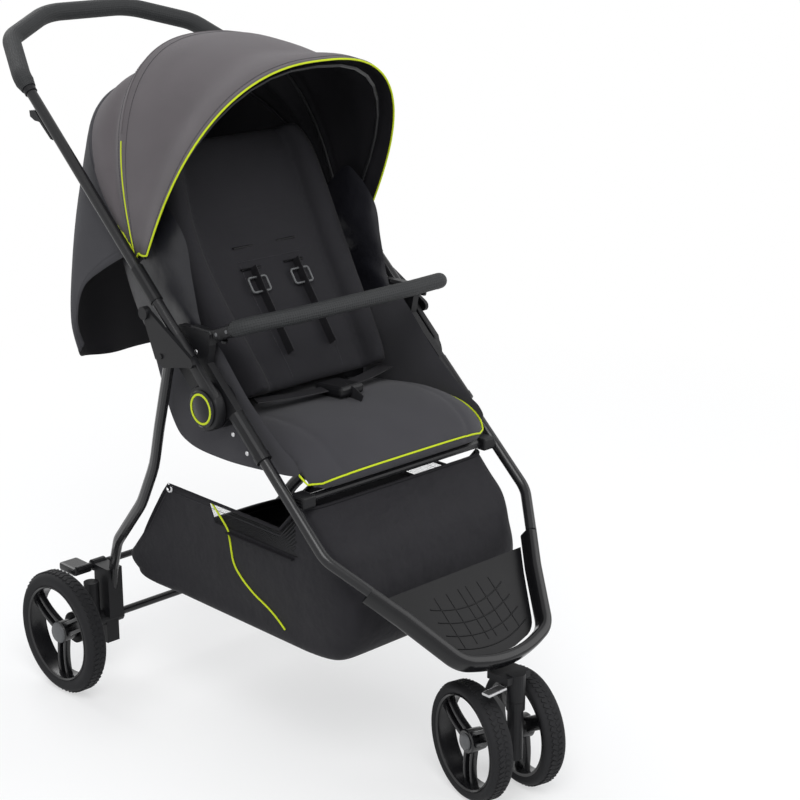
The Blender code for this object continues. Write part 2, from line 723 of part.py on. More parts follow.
def rear_axle():
    step = CARRIER_X[1] + 0.0007
    tip = REAR_OUTER_X - REAR_WIDTH * 0.225 - GAP
    profile = [(0.0005, tip), (PIN_R, tip), (PIN_R, step), (AXLE_R, step), (AXLE_R, -step), (PIN_R, -step),
               (PIN_R, -tip), (0.0005, -tip)]
    rehome(turned("rear_axle", profile, (0, AXLE_Y, REAR_R), (1, 0, 0), "frame_black", steps=16),
           (0.0, *LEG_PIVOT))


def brake_bar():
    """Cross bar with the foot pedal at its right end."""
    pivot = (0.0, BRAKE_Y, BRAKE_Z)
    ends = [(x, BRAKE_Y, BRAKE_Z) for x in BRAKE_X]
    body = to_mesh(tube("brake_bar", ends, BRAKE_R, "frame_black"))
    pedal = side_box("brake_pedal", 1, PEDAL_X, PEDAL_Y, PEDAL_Z, None)
    bevel(pedal, 0.004)
    boolean(body, bake(pedal), "UNION")
    rehome(shade(bake(body)), pivot)


# Wheels

def wheel(prefix, center, axis, radius, rim_radius, width, cap_radius):
    """Tyre, three-pair spoked rim and hub cap; the axis points out to the wheel's face."""
    center, axis = Vector(center), Vector(axis).normalized()
    half = width / 2
    crown = radius - rim_radius
    profile = []
    for step in range(9):
        angle = math.pi / 2 - math.pi * step / 8
        profile.append((radius - crown * 0.62 + crown * 0.62 * math.cos(angle) ** 0.75, half * math.sin(angle)))
    profile += [(rim_radius + 0.0004, -half * 0.80), (rim_radius + 0.0004, half * 0.80)]
    end, label = prefix.split("_")
    rim_name = f"{end}_rim_{label}"
    rehome(turned(f"{end}_tyre_{label}", profile, center, axis, "tyre_rubber", steps=36), center)
    depth = half * 0.86
    inner = rim_radius - RIM_WALL
    barrel = [(rim_radius, depth), (rim_radius, -depth), (inner, -depth), (inner, depth)]
    rim = turned(rim_name, barrel, center, axis, "rim_black", steps=36)
    face = half * 0.55
    back = -half * 0.98
    hub_profile = [(WHEEL_HUB_R, face), (WHEEL_HUB_R, back), (PIN_R + GAP, back), (PIN_R + GAP, face)]
    boolean(rim, turned(f"{rim_name}_hub", hub_profile, center, axis, None, steps=24), "UNION")
    turn = Vector((0, 0, 1)).rotation_difference(axis).to_matrix().to_4x4()
    flat = axis.cross(Vector((0, 0, 1))).normalized()
    local_up = turn.inverted() @ Vector((0, 0, 1))
    local_flat = turn.inverted() @ flat
    for angle in SPOKE_ANGLES:
        direction = local_flat * math.cos(angle) + local_up * math.sin(angle)
        across = Vector((0, 0, 1)).cross(direction)
        for offset in (-SPOKE_OFFSET, SPOKE_OFFSET):
            start = direction * SPOKE_START + across * offset * 0.9
            finish = direction * (rim_radius - 0.002) + across * offset
            rod = box(f"{rim_name}_spoke", (-SPOKE_WIDTH / 2, -0.5, -SPOKE_DEPTH / 2),
                      (SPOKE_WIDTH / 2, 0.5, SPOKE_DEPTH / 2), None)
            along = (finish - start).normalized()
            basis = Matrix((along.cross(Vector((0, 0, 1))), along * (finish - start).length, Vector((0, 0, 1))))
            place = Matrix.Translation(center) @ turn @ Matrix.Translation((start + finish) / 2)
            rod.data.transform(place @ basis.transposed().to_4x4())
            boolean(rim, rod, "UNION")
    rehome(shade(bake(rim)), center)
    cap = [(0.0005, face + 0.0045), (cap_radius * 0.88, face + 0.0045), (cap_radius, face + 0.0028),
           (cap_radius, face + GAP), (0.0005, face + GAP)]
    rehome(turned(f"{end}_hub_cap_{label}", cap, center, axis, "cap_grey", steps=20), center)


def rear_wheels():
    for label, side in SIDES:
        center = ((REAR_OUTER_X - REAR_WIDTH / 2) * side, AXLE_Y, REAR_R)
        wheel(f"rear_{label}", center, (side, 0, 0), REAR_R, REAR_RIM_R, REAR_WIDTH, REAR_CAP_R)


def caster_local(x, y, z):
    """World point of caster coordinates, whose +Y trails back from the stem's axis."""
    turn = Matrix.Rotation(CASTER_ANGLE, 4, "Z")
    return Matrix.Translation((0, STEM_Y, 0)) @ turn @ Vector((x, y, z))


def caster_rod(name, half, radius, sides):
    """A cylinder on the front axle's line, centred between the wheels."""
    start = caster_local(-half, CASTER_TRAIL, FRONT_R)
    return cylinder(name, start, caster_local(half, CASTER_TRAIL, FRONT_R), radius, None, sides=sides)


def front_wheels():
    across = caster_local(1, 0, 0) - caster_local(0, 0, 0)
    for label, side in SIDES:
        center = caster_local((FRONT_OUTER - FRONT_WIDTH / 2) * side, CASTER_TRAIL, FRONT_R)
        wheel(f"front_{label}", center, across * side, FRONT_R, FRONT_RIM_R, FRONT_WIDTH, FRONT_CAP_R)


def caster_fork():
    """Stem, spring cylinder and the arm that carries the front axle between the wheels."""
    top = HOUSING_Z[0] - 0.0006
    body = cylinder("caster_fork", caster_local(0, 0, FORK_BOTTOM), caster_local(0, 0, top - 0.008), FORK_R,
                    "plastic_black", sides=20)
    ring_base = caster_local(0, 0, top - 0.014)
    ring = cylinder("fork_ring", ring_base, caster_local(0, 0, top), STEM_R, None, sides=20)
    boss = caster_rod("fork_boss", FORK_BOSS_HALF, FORK_BOSS_R, sides=20)
    arm_low = (-FORK_ARM_HALF, 0.0, FORK_ARM_Z[0])
    arm = box("fork_arm", arm_low, (FORK_ARM_HALF, CASTER_TRAIL, FORK_ARM_Z[1]), None)
    turn = Matrix.Translation((0, STEM_Y, 0)) @ Matrix.Rotation(CASTER_ANGLE, 4, "Z")
    arm.data.transform(turn)
    bore = caster_rod("fork_bore", FORK_BOSS_HALF + 0.02, PIN_R + GAP, sides=16)
    for other in (ring, boss, arm):
        boolean(body, other, "UNION")
    boolean(body, bore, "DIFFERENCE")
    rehome(shade(bake(body)), (0, STEM_Y, 0))


def front_axle():
    tip = FRONT_OUTER - FRONT_WIDTH * 0.225 - GAP
    profile = [(0.0005, tip), (PIN_R, tip), (PIN_R, -tip), (0.0005, -tip)]
    axis = caster_local(1, 0, 0) - caster_local(0, 0, 0)
    rehome(turned("front_axle", profile, caster_local(0, CASTER_TRAIL, FRONT_R), axis, "steel", steps=16),
           (0, STEM_Y, 0))


# Bumper bar

def bumper_bar():
    home = (0.0, BUMPER_ARM_Y[0], BUMPER_ARM_Z[0])
    run = Vector((0.0, BUMPER_ARM_Y[1] - BUMPER_ARM_Y[0], BUMPER_ARM_Z[1] - BUMPER_ARM_Z[0])).normalized()
    start = Vector((BUMPER_X, BUMPER_ARM_Y[1], BUMPER_ARM_Z[1])) + run * GAP
    half = [start, Vector((BUMPER_X, *BUMPER_CORNER)), Vector((BUMPER_X * 0.55, *BUMPER_NOSE))]
    corners = half + [mirror_x(point, -1) for point in reversed(half)]
    path = rounded_path(corners, [0.020, 0.25, 0.25, 0.020], steps=5)
    rehome(tube("bumper_grip", path, BUMPER_GRIP_R, "grip_foam", sides=12), home)
    for label, side in SIDES:
        arm_path = [Vector((BUMPER_X * side, BUMPER_ARM_Y[0], BUMPER_ARM_Z[0])),
                    Vector((BUMPER_X * side, BUMPER_ARM_Y[1], BUMPER_ARM_Z[1]))]
        rehome(tube(f"bumper_arm_{label}", arm_path, BUMPER_ARM_R, "plastic_black"), home)


# Seat

def padded_ring(y, z, normal, half_width, thickness, front, count=10):
    """A closed ring across a cushion; front(u) is the rise of its face at u = x / half width."""
    ring = []
    for step in range(count + 1):
        u = -1.0 + 2.0 * step / count
        rise = thickness / 2 + front(u)
        ring.append(Vector((u * half_width, y + normal[0] * rise, z + normal[1] * rise)))
    for step in range(count + 1):
        u = 1.0 - 2.0 * step / count
        drop = thickness / 2 * (1.0 - 0.6 * abs(u) ** 8)
        ring.append(Vector((u * half_width * 0.985, y - normal[0] * drop, z - normal[1] * drop)))
    return ring


def route_normals(route, flip):
    """Unit (y, z) normals along a route: flip 1 turns them to the left of its run, -1 to the right."""
    normals = []
    for index in range(len(route)):
        before = Vector(route[max(index - 1, 0)])
        after = Vector(route[min(index + 1, len(route) - 1)])
        run = (after - before).normalized()
        normals.append((run.y * flip, -run.x * flip))
    return normals


def seat_pad():
    def crown(u):
        return PAD_CROWN * (1.0 - abs(u) ** 3) - 0.006 * abs(u) ** 6

    rings = []
    for (y, z), normal, half in zip(PAD_ROUTE, route_normals(PAD_ROUTE, 1.0), PAD_HALF_WIDTHS):
        rings.append(padded_ring(y, z, normal, half, PAD_THICKNESS, crown))
    loft("seat_pad", rings, "fabric_dark")


def back_front(u):
    """Rise of the backrest's face: flat in the middle, with a raised bolster down each side."""
    distance = abs(abs(u) - 0.80)
    return BOLSTER * max(0.0, 1.0 - (distance / 0.20) ** 2)


def backrest():
    rings = []
    for (y, z), normal, half in zip(BACK_ROUTE, route_normals(BACK_ROUTE, -1.0), BACK_HALF_WIDTHS):
        middle = (y - normal[0] * BACK_THICKNESS / 2, z - normal[1] * BACK_THICKNESS / 2)
        rings.append(padded_ring(*middle, normal, half, BACK_THICKNESS, back_front, count=20))
    rehome(loft("backrest", rings, "fabric_black"), BACK_HINGE)


def shoulder_straps():
    for label, side in SIDES:
        x_low, x_high = sorted((STRAP_X[0] * side, STRAP_X[1] * side))
        rows = []
        for (y, z), normal in list(zip(BACK_ROUTE, route_normals(BACK_ROUTE, -1.0)))[1:5]:
            inner = Vector((y + normal[0] * 0.0008, z + normal[1] * 0.0008))
            outer = inner + Vector(normal) * STRAP_THICKNESS
            rows.append([Vector((x_low, *inner)), Vector((x_high, *inner)), Vector((x_high, *outer)),
                         Vector((x_low, *outer))])
        rehome(loft(f"shoulder_strap_{label}", rows, "webbing"), BACK_HINGE)


def side_panels():
    """Cloth wings that close the gap beside the seat and the backrest."""
    for label, side in SIDES:
        plate(f"side_panel_{label}", PANEL_OUTLINE, (PANEL_X[0] * side, PANEL_X[1] * side), "fabric_dark")


def seat_supports():
    """Hinge blocks on the front tubes and the cross bar that carries the seat's front edge."""
    for label, side in SIDES:
        block = side_box(f"seat_block_{label}", side, SEAT_BLOCK_X, SEAT_BLOCK_Y, SEAT_BLOCK_Z, "plastic_black")
        bevel(block, 0.003)
    reach = SEAT_BLOCK_X[0] - 0.0005
    y, z = sum(SEAT_BLOCK_Y) / 2, sum(SEAT_BLOCK_Z) / 2
    tube("seat_front_bar", [(-reach, y, z), (reach, y, z)], SEAT_BAR_R, "frame_black")


def harness_buckle():
    half = Vector(BUCKLE_HALF)
    body = box("harness_buckle", -half, half, "plastic_black")
    body.data.transform(Matrix.Translation(BUCKLE_CENTER) @ Matrix.Rotation(BUCKLE_TILT, 4, "X"))
    bevel(body, 0.005)


# Canopy, curtain and basket

# Arches of the canopy's cloth from front to rear: (y, z) of base and top, and half width
ARCHES = (((0.062, 0.760), (-0.080, 1.036), 0.2220), ((0.072, 0.758), (-0.050, 1.045), 0.2205),
          ((0.082, 0.757), (0.010, 1.055), 0.2175), ((0.092, 0.757), (0.095, 1.059), 0.2140),
          ((0.105, 0.748), (0.190, 1.052), 0.2115), ((0.126, 0.768), (0.256, 1.014), 0.2112),
          ((0.150, 0.790), (0.308, 0.972), 0.2105))


def arch_row(base, top, half, count=18, inset=0.0):
    row = []
    for step in range(count + 1):
        angle = math.pi * (step / count - 0.5)
        across = math.copysign(abs(math.sin(angle)) ** (2.0 / CANOPY_POWER), math.sin(angle))
        rise = abs(math.cos(angle)) ** (2.0 / CANOPY_POWER)
        if step in (0, count):
            rise = 0.0
        run = Vector((top[0] - base[0], top[1] - base[1]))
        reach = run.length - inset
        point = Vector(base) + run.normalized() * reach * rise
        row.append(Vector((across * half, point.x, point.y)))
    return row


def canopy():
    rows = [arch_row(base, top, half) for base, top, half in ARCHES]
    cloth = loft("canopy_cloth", rows, "fabric_grey", closed=False)
    rehome(thicken(cloth, CANOPY_CLOTH, -1.0), (0.0, *BOW_PIVOT))


def canopy_bows():
    """Two sprung arches that pivot on the clamps and hold the canopy's cloth up."""
    bows = (("canopy_bow_front", ARCHES[0][1], BOW_HALVES[0], 0.010),
            ("canopy_bow_middle", ARCHES[4][1], BOW_HALVES[1], 0.0))
    for name, top, half, shift in bows:
        row = arch_row(BOW_PIVOT, (top[0] + shift, top[1]), half, count=20, inset=0.0105)
        rehome(tube(name, row, BOW_R, "frame_black", sides=8), (0.0, *BOW_PIVOT))


def canopy_clamps():
    low, high = CLAMP_S
    for label, side in SIDES:
        name = f"canopy_clamp_{label}"
        body = cylinder(name, on_handle(side, low), on_handle(side, high), CLAMP_R, "plastic_black", sides=16)
        bore = cylinder(f"{name}_bore", on_handle(side, low - 0.02), on_handle(side, high + 0.02),
                        HANDLE_TUBE_R + GAP, None, sides=16)
        boolean(body, bore, "DIFFERENCE")
        rehome(shade(bake(body)), HUB)


# Rows of the curtain from the canopy down: side edge, arch base and top, and half width
CURTAIN = (((0.2095, 0.135, 0.745), (0.156, 0.789), (0.3145, 0.967), 0.2100),
           ((0.2060, 0.200, 0.712), (0.236, 0.740), (0.326, 0.850), 0.2060),
           ((0.2000, 0.262, 0.672), (0.276, 0.680), (0.348, 0.710), 0.2000),
           ((0.1880, 0.300, 0.610), (0.306, 0.605), (0.368, 0.600), 0.1880),
           ((0.1650, 0.318, 0.562), (0.324, 0.550), (0.378, 0.520), 0.1650))


def rear_curtain():
    """Cloth that hangs from the canopy's rear arch behind the backrest."""
    rows = []
    for edge, base, top, half in CURTAIN:
        arch = arch_row(base, top, half, count=14)
        rows.append([mirror_x(edge, -1)] + arch + [Vector(edge)])
    cloth = loft("rear_curtain", rows, "fabric_dark", closed=False)
    rehome(thicken(cloth, CURTAIN_CLOTH, -1.0), HUB)


# Rings of the basket from rim to floor: (middle y, half length), half width, rear z, front z
BASKET_RINGS = (((-0.0175, 0.2225), 0.185, 0.382, 0.428), ((-0.0325, 0.2675), 0.186, 0.345, 0.375),
                ((-0.0410, 0.2810), 0.184, 0.295, 0.312), ((-0.0430, 0.2750), 0.178, 0.245, 0.252),
                ((-0.0350, 0.2500), 0.170, 0.205, 0.208), ((-0.0300, 0.1700), 0.115, 0.197, 0.199))


def rim_height(v):
    """Height of the basket's rim: high hem in front, level sides, and a low rear wall."""
    hem = min(1.0, max(0.0, (-v - RIM_HEM_V[0]) / (RIM_HEM_V[1] - RIM_HEM_V[0])))
    drop = min(1.0, max(0.0, (v - RIM_REAR_V[0]) / (RIM_REAR_V[1] - RIM_REAR_V[0])))
    return RIM_SIDE_Z + (RIM_HEM_Z - RIM_SIDE_Z) * hem - (RIM_SIDE_Z - RIM_REAR_Z) * drop


def basket():
    """Open cloth basket that hangs between the front tubes and the rear legs."""
    count = 40
    floor_z = BASKET_RINGS[-1][2]
    rings = []
    for (middle, half_length), half_width, z_rear, z_front in BASKET_RINGS:
        ring = []
        for step in range(count):
            angle = 2 * math.pi * (step + 0.5) / count
            corner = REAR_CORNER if math.sin(angle) > 0.0 else FRONT_CORNER
            u = math.copysign(abs(math.cos(angle)) ** corner, math.cos(angle))
            v = math.copysign(abs(math.sin(angle)) ** corner, math.sin(angle))
            y = middle + half_length * v
            z = z_front + (z_rear - z_front) * (v + 1.0) / 2.0
            rim = BASKET_RINGS[0][3] + (BASKET_RINGS[0][2] - BASKET_RINGS[0][3]) * (v + 1.0) / 2.0
            z = floor_z + (z - floor_z) * (rim_height(v) - floor_z) / (rim - floor_z)
            ring.append(Vector((half_width * u, y, z)))
        rings.append(ring)
    work = bmesh.new()
    rows = [[work.verts.new(point) for point in ring] for ring in rings]
    for low, high in zip(rows, rows[1:]):
        for index in range(count):
            after = (index + 1) % count
            work.faces.new((low[index], high[index], high[after], low[after]))
    work.faces.new(rows[-1][::-1])
    mesh = bpy.data.meshes.new("basket")
    work.to_mesh(mesh)
    work.free()
    cloth = shade(link(bpy.data.objects.new("basket", mesh), "fabric_black"), 60)
    thicken(cloth, BASKET_CLOTH, -1.0)


def center_length():
    """Moves every object so that the length is centred on Y = 0."""
    for obj in list(PARTS.objects) + list(CUTTERS.objects):
        obj.location.y += CENTER_Y


def build():
    front_tubes()
    front_hoop()
    footplate()
    caster_housing()
    swivel_lock_lever()
    side_plates()
    hub_discs()
    handle_tubes()
    handlebar_grip()
    fold_hook()
    rear_legs()
    leg_heads()
    leg_feet()
    rear_axle()
    brake_bar()
    rear_wheels()
    front_wheels()
    caster_fork()
    front_axle()
    bumper_bar()
    seat_pad()
    backrest()
    shoulder_straps()
    side_panels()
    seat_supports()
    harness_buckle()
    canopy()
    canopy_bows()
    canopy_clamps()
    rear_curtain()
    basket()
    center_length()


clear_scene()
PARTS = make_collection(OBJECT_NAME)
CUTTERS = make_collection("cutters")
build()
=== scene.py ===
"""Looks of a folding stroller: cloth, padding, wheels, coatings, stage and camera.

Metres, +Z up. The stroller faces -Y. The side tubes and the front hoop lie in one plane that
slopes up to the rear, and most of the frame's pieces are placed along that plane.
"""

import math

import bmesh
import bpy
from bpy.props import FloatProperty, FloatVectorProperty, IntProperty, PointerProperty
from mathutils import Matrix, Vector, noise
from mathutils.bvhtree import BVHTree
from mathutils.kdtree import KDTree


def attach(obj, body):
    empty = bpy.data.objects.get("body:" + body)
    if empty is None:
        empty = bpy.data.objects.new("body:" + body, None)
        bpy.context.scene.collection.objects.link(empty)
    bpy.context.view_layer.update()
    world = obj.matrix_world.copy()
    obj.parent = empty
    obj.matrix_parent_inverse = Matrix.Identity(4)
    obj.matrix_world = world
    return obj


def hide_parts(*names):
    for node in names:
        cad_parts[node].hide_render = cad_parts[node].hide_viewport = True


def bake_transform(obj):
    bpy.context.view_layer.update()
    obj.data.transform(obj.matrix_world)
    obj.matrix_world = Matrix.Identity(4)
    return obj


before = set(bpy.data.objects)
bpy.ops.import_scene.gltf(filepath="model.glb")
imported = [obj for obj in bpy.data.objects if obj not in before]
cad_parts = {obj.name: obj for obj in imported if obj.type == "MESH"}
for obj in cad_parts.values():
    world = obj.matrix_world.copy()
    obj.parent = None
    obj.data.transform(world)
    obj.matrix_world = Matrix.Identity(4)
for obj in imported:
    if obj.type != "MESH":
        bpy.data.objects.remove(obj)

bl_info = {
    "name": "Folding stroller",
    "version": (1, 0, 0),
    "blender": (4, 5, 0),
    "location": "3D View > Sidebar > Stroller",
    "description": "Dresses the frame of a folding stroller",
    "category": "Object",
}

SIDES = (("right", -1), ("left", 1))
# How far the assembly stands behind the frame of the drawing
SHIFT_Y = 0.0083
SHIFT = Vector((0, SHIFT_Y, 0))
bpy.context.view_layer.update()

# The sloping plane of the frame tubes; distances along it count up from this point
SLOPE = math.radians(42.0)
PLANE = (-0.1036, 0.5648)
HUB_ALONG, HUB_LIFT = 0.0215, -0.0295
FRONT_TUBE_X, TUBE_R = 0.2065, 0.0083
FRONT_TUBE_TOP, FRONT_BEND = -0.052, -0.268
SLEEVE = (0.167, -0.335)
HANDLE_X = (0.2235, 0.2195)
HANDLE_BOTTOM, HANDLE_TOP = 0.088, 0.611
# Clearance where one piece ends at another
TUCK = 0.0003
GRIP_SLOPE = math.radians(31.5)
GRIP_R = 0.0145
GRIP_CORNER, GRIP_SHOULDER = (0.180, 0.122), (0.080, 0.178)

# Wheels: radius, rim radius, width, hub cap radius
REAR_WHEEL = (0.1022, 0.0797, 0.0357, 0.0175)
FRONT_WHEEL = (0.0896, 0.0733, 0.0361, 0.0130)
REAR_WHEEL_X, AXLE_Y = 0.25785, 0.2829
FRONT_WHEEL_X = 0.04555
STEM_Y, CASTER_ANGLE, CASTER_TRAIL = -0.478, math.radians(-13.3), 0.0445
SPOKE_ANGLES, SPOKE_GAP = (150.0, 30.0, 270.0), 0.0088
# Share of the half width at which a wheel's hub ends
HUB_FACE = 0.55

# Bumper bar
BUMPER_X, BUMPER_ARM = 0.200, ((-0.0715, 0.6625), (-0.1080, 0.6775))
BUMPER_CORNER, BUMPER_NOSE = (-0.1300, 0.68654), (-0.1390, 0.6875)
BUMPER_R = 0.0122

# Seat routes in (y, z), each with its half widths
PAD_ROUTE = ((0.030, 0.498), (-0.030, 0.505), (-0.085, 0.511), (-0.140, 0.515), (-0.195, 0.508),
             (-0.230, 0.488), (-0.250, 0.464))
PAD_HALF_WIDTHS = (0.165, 0.170, 0.176, 0.182, 0.184, 0.1845, 0.174)
BACK_ROUTE = ((-0.066, 0.556), (-0.040, 0.592), (-0.004, 0.640), (0.030, 0.686), (0.062, 0.735),
              (0.085, 0.780), (0.104, 0.825), (0.122, 0.870), (0.140, 0.905))
BACK_HALF_WIDTHS = (0.142, 0.150, 0.158, 0.165, 0.170, 0.170, 0.166, 0.158, 0.140)
# Outline of the side cloth in (y, z): padded bolster above, plain wing below
BOLSTER_OUTLINE = ((0.160, 0.760), (0.088, 0.834), (0.050, 0.826), (0.012, 0.786), (0.000, 0.735),
                   (-0.012, 0.684), (-0.022, 0.640), (0.020, 0.622), (0.110, 0.630), (0.165, 0.720))
WING_OUTLINE = ((0.108, 0.628), (0.060, 0.630), (-0.010, 0.645), (-0.024, 0.662), (-0.058, 0.640),
                (-0.122, 0.574), (-0.186, 0.524), (-0.222, 0.503), (-0.224, 0.484), (-0.150, 0.474),
                (-0.060, 0.468), (0.020, 0.474), (0.060, 0.505), (0.100, 0.600))
PANEL_X, PILLOW_RINGS = 0.1878, 16
PAD_THICK = BACK_THICK = 0.026
# Shares of the backrest's half width at its bolsters, seams and channels, and of its height at the cross seam
BOLSTER_U, SEAM_U, CHANNEL_U, CROSS_T = 0.84, 0.64, 0.36, 0.46
# The rings' columns along the backrest's seams and channels, and its row at the cross seam
SEAM_COLUMNS, CHANNEL_COLUMNS, CROSS_ROW = (14, 66), (26, 54), 28
PAD_CHANNEL_U, PAD_CHANNEL_COLUMNS = 0.72, (8, 48)

# Cloth behind the backrest: y, z and half width, from the pad upwards
GUSSET = ((0.035, 0.478, 0.183), (0.037, 0.520, 0.183), (0.044, 0.570, 0.183), (0.058, 0.625, 0.183),
          (0.084, 0.690, 0.182))
# Height of the footplate's middle off the frame plane
FOOTPLATE_LIFT = -0.020
# (y, z) of the rivets on the side plates, the front tubes and the bumper's arms
PLATE_RIVETS = ((-0.0145, 0.6103), (-0.0335, 0.6317))
TUBE_RIVETS = ((-0.1177, 0.5268), (-0.1483, 0.5056))
ARM_RIVETS = ((-0.0780, 0.6660), (-0.1010, 0.6745))

# Canopy arches from front to rear: (y, z) of base and of top, and half width
ARCHES = (((0.062, 0.760), (-0.080, 1.036), 0.2220), ((0.072, 0.758), (-0.050, 1.045), 0.2205),
          ((0.082, 0.757), (0.010, 1.055), 0.2175), ((0.092, 0.757), (0.095, 1.059), 0.2140),
          ((0.105, 0.748), (0.190, 1.052), 0.2115), ((0.126, 0.768), (0.256, 1.014), 0.2112),
          ((0.150, 0.790), (0.308, 0.972), 0.2105))
ARCH_POWER = 2.55
# Curtain rows down from the canopy: side edge, arch base and top, half width
CURTAIN = (((0.2095, 0.135, 0.745), (0.156, 0.789), (0.3145, 0.967), 0.2100),
           ((0.2060, 0.200, 0.712), (0.236, 0.740), (0.326, 0.850), 0.2060),
           ((0.2000, 0.262, 0.672), (0.276, 0.680), (0.348, 0.710), 0.2000),
           ((0.1880, 0.300, 0.610), (0.306, 0.605), (0.368, 0.600), 0.1880),
           ((0.1650, 0.318, 0.562), (0.324, 0.550), (0.378, 0.520), 0.1650))
# Basket rings from rim to floor: (middle y, half length), half width, rear z, front z
BASKET = (((-0.0175, 0.2225), 0.185, 0.382, 0.428), ((-0.0325, 0.2675), 0.186, 0.345, 0.375),
          ((-0.0410, 0.2810), 0.184, 0.295, 0.312), ((-0.0430, 0.2750), 0.178, 0.245, 0.252),
          ((-0.0350, 0.2500), 0.170, 0.205, 0.208), ((-0.0300, 0.1700), 0.115, 0.197, 0.199))

# Basket: powers that square its front and rear corners, heights of its rim, and where the height changes
FRONT_CORNER, REAR_CORNER = 0.13, 0.30
RIM_HEM_Z, RIM_SIDE_Z, RIM_REAR_Z = 0.434, 0.391, 0.250
RIM_HEM_V, RIM_REAR_V = (0.74, 0.92), (0.45, 0.90)
EYELET = (0.0783, 0.3860)
# Piping down the basket's side, in (y, z) from the rim
BASKET_PIPING = ((-0.0258, 0.3905), (-0.0575, 0.3598), (-0.0625, 0.3450), (-0.0694, 0.3071),
                 (-0.0880, 0.2850), (-0.1146, 0.2676), (-0.1480, 0.2520), (-0.1797, 0.2300))
# Height of the band over the net, and of the pale line behind
BAND_Z, LINE_Z = 0.352, 0.231
# Where the net begins: half width, height and front end
NET_X, NET_Z, NET_FRONT = 0.165, 0.357, -0.215

# Half width and half thickness of the harness straps, and how far off the middle they run
STRAP_HALF, STRAP_THICK, STRAP_X = 0.0125, 0.0010, 0.0425
WAIST_BELT = ((0.026, -0.1040, 0.5510), (0.062, -0.0960, 0.5500), (0.100, -0.0840, 0.5495),
              (0.132, -0.0700, 0.5480))
CROTCH_BELT = ((-0.1200, 0.5470), (-0.1380, 0.5450), (-0.1560, 0.5370))
BAG_THICK = 0.0014
# Filling of the cushions: voxel, pressure, frames, and the distance over which a seam holds
FILL_VOXEL, FILL_PRESSURE, FILL_FRAMES, SEAM_REACH = 0.0052, 4.0, 20, 0.0045
STITCH_R = 0.00045

# Camera that sees the stroller as the photograph does
CAMERA_AT = (-1.8066, -2.0968, 1.3789)
CAMERA_TURN = (-44.082, 17.518)
CAMERA_LENS = 84.005
FLOOR_REACH = 12.0
LAMPS = (("key", (-1.9, -2.2, 3.4), 2.2, 95.0), ("fill", (2.6, -2.4, 2.2), 2.6, 45.0),
         ("back", (0.4, 3.0, 3.2), 2.4, 60.0))

# Settings

class StrollerSizes(bpy.types.PropertyGroup):
    """Sizes that can be changed without changing the frame."""

    cloth: FloatProperty(name="Canopy cloth", description="Thickness of the canopy's cloth",
                         default=0.0014, min=0.0005, max=0.003, unit="LENGTH")
    piping: FloatProperty(name="Piping", description="Radius of the piping along the edges",
                          default=0.0015, min=0.0005, max=0.004, unit="LENGTH")
    stitch: FloatProperty(name="Stitch", description="Length of one stitch",
                          default=0.0034, min=0.001, max=0.01, unit="LENGTH")
    stitch_gap: FloatProperty(name="Stitch spacing", description="Distance from stitch to stitch",
                              default=0.0048, min=0.001, max=0.02, unit="LENGTH")
    tread: FloatProperty(name="Tread", description="Height of the tyres' tread blocks",
                         default=0.0007, min=0.0, max=0.002, unit="LENGTH")
    tread_count: IntProperty(name="Tread blocks", description="Blocks round each tyre",
                             default=64, min=12, max=120)
    swell: FloatProperty(name="Swell", description="Most that padding may move when it is filled",
                         default=0.009, min=0.0, max=0.02, unit="LENGTH")


def color_property(name, description, default):
    return FloatVectorProperty(name=name, description=description, default=default, size=3,
                               min=0.0, max=1.0, subtype="COLOR")


class StrollerColors(bpy.types.PropertyGroup):
    """Colours of the finishes, in linear light."""

    canopy: color_property("Canopy", "Woven canopy cloth", (0.102, 0.091, 0.096))
    seat: color_property("Seat", "Woven seat cloth", (0.042, 0.041, 0.046))
    back: color_property("Back", "Cloth of the backrest", (0.014, 0.0135, 0.016))
    lining: color_property("Lining", "Black lining and basket cloth", (0.0105, 0.0100, 0.0120))
    satin: color_property("Satin", "Shiny padded cloth beside the backrest", (0.008, 0.008, 0.011))
    piping: color_property("Piping", "Piping and hub rings", (0.52, 0.62, 0.02))
    coating: color_property("Coating", "Powder coat of the tubes", (0.011, 0.011, 0.012))
    plastic: color_property("Plastic", "Black mouldings", (0.008, 0.008, 0.009))
    foam: color_property("Foam", "Foam grips", (0.017, 0.018, 0.019))
    rubber: color_property("Rubber", "Tyres", (0.012, 0.012, 0.013))
    cap: color_property("Caps", "Hub caps", (0.105, 0.107, 0.110))


def sizes():
    return bpy.context.scene.stroller_sizes


def colors():
    return bpy.context.scene.stroller_colors


# Shader maths

class Wire:
    """A socket of a shader tree. Arithmetic on it adds Math nodes."""

    def __init__(self, tree, socket):
        self.tree = tree
        self.socket = socket

    def math(self, operation, other=0.0):
        return self.tree.add("ShaderNodeMath", [self, other], operation=operation)

    def __add__(self, other):
        return self.math("ADD", other)

    def __sub__(self, other):
        return self.math("SUBTRACT", other)

    def __mul__(self, other):
        return self.math("MULTIPLY", other)

    def __gt__(self, other):
        return self.math("GREATER_THAN", other)

    __radd__ = __add__

    def sine(self):
        return self.math("SINE")

    def size(self):
        return self.math("ABSOLUTE")

    def most(self, other):
        return self.math("MAXIMUM", other)

    def clamp(self):
        return self.math("MAXIMUM", 0.0).math("MINIMUM", 1.0)


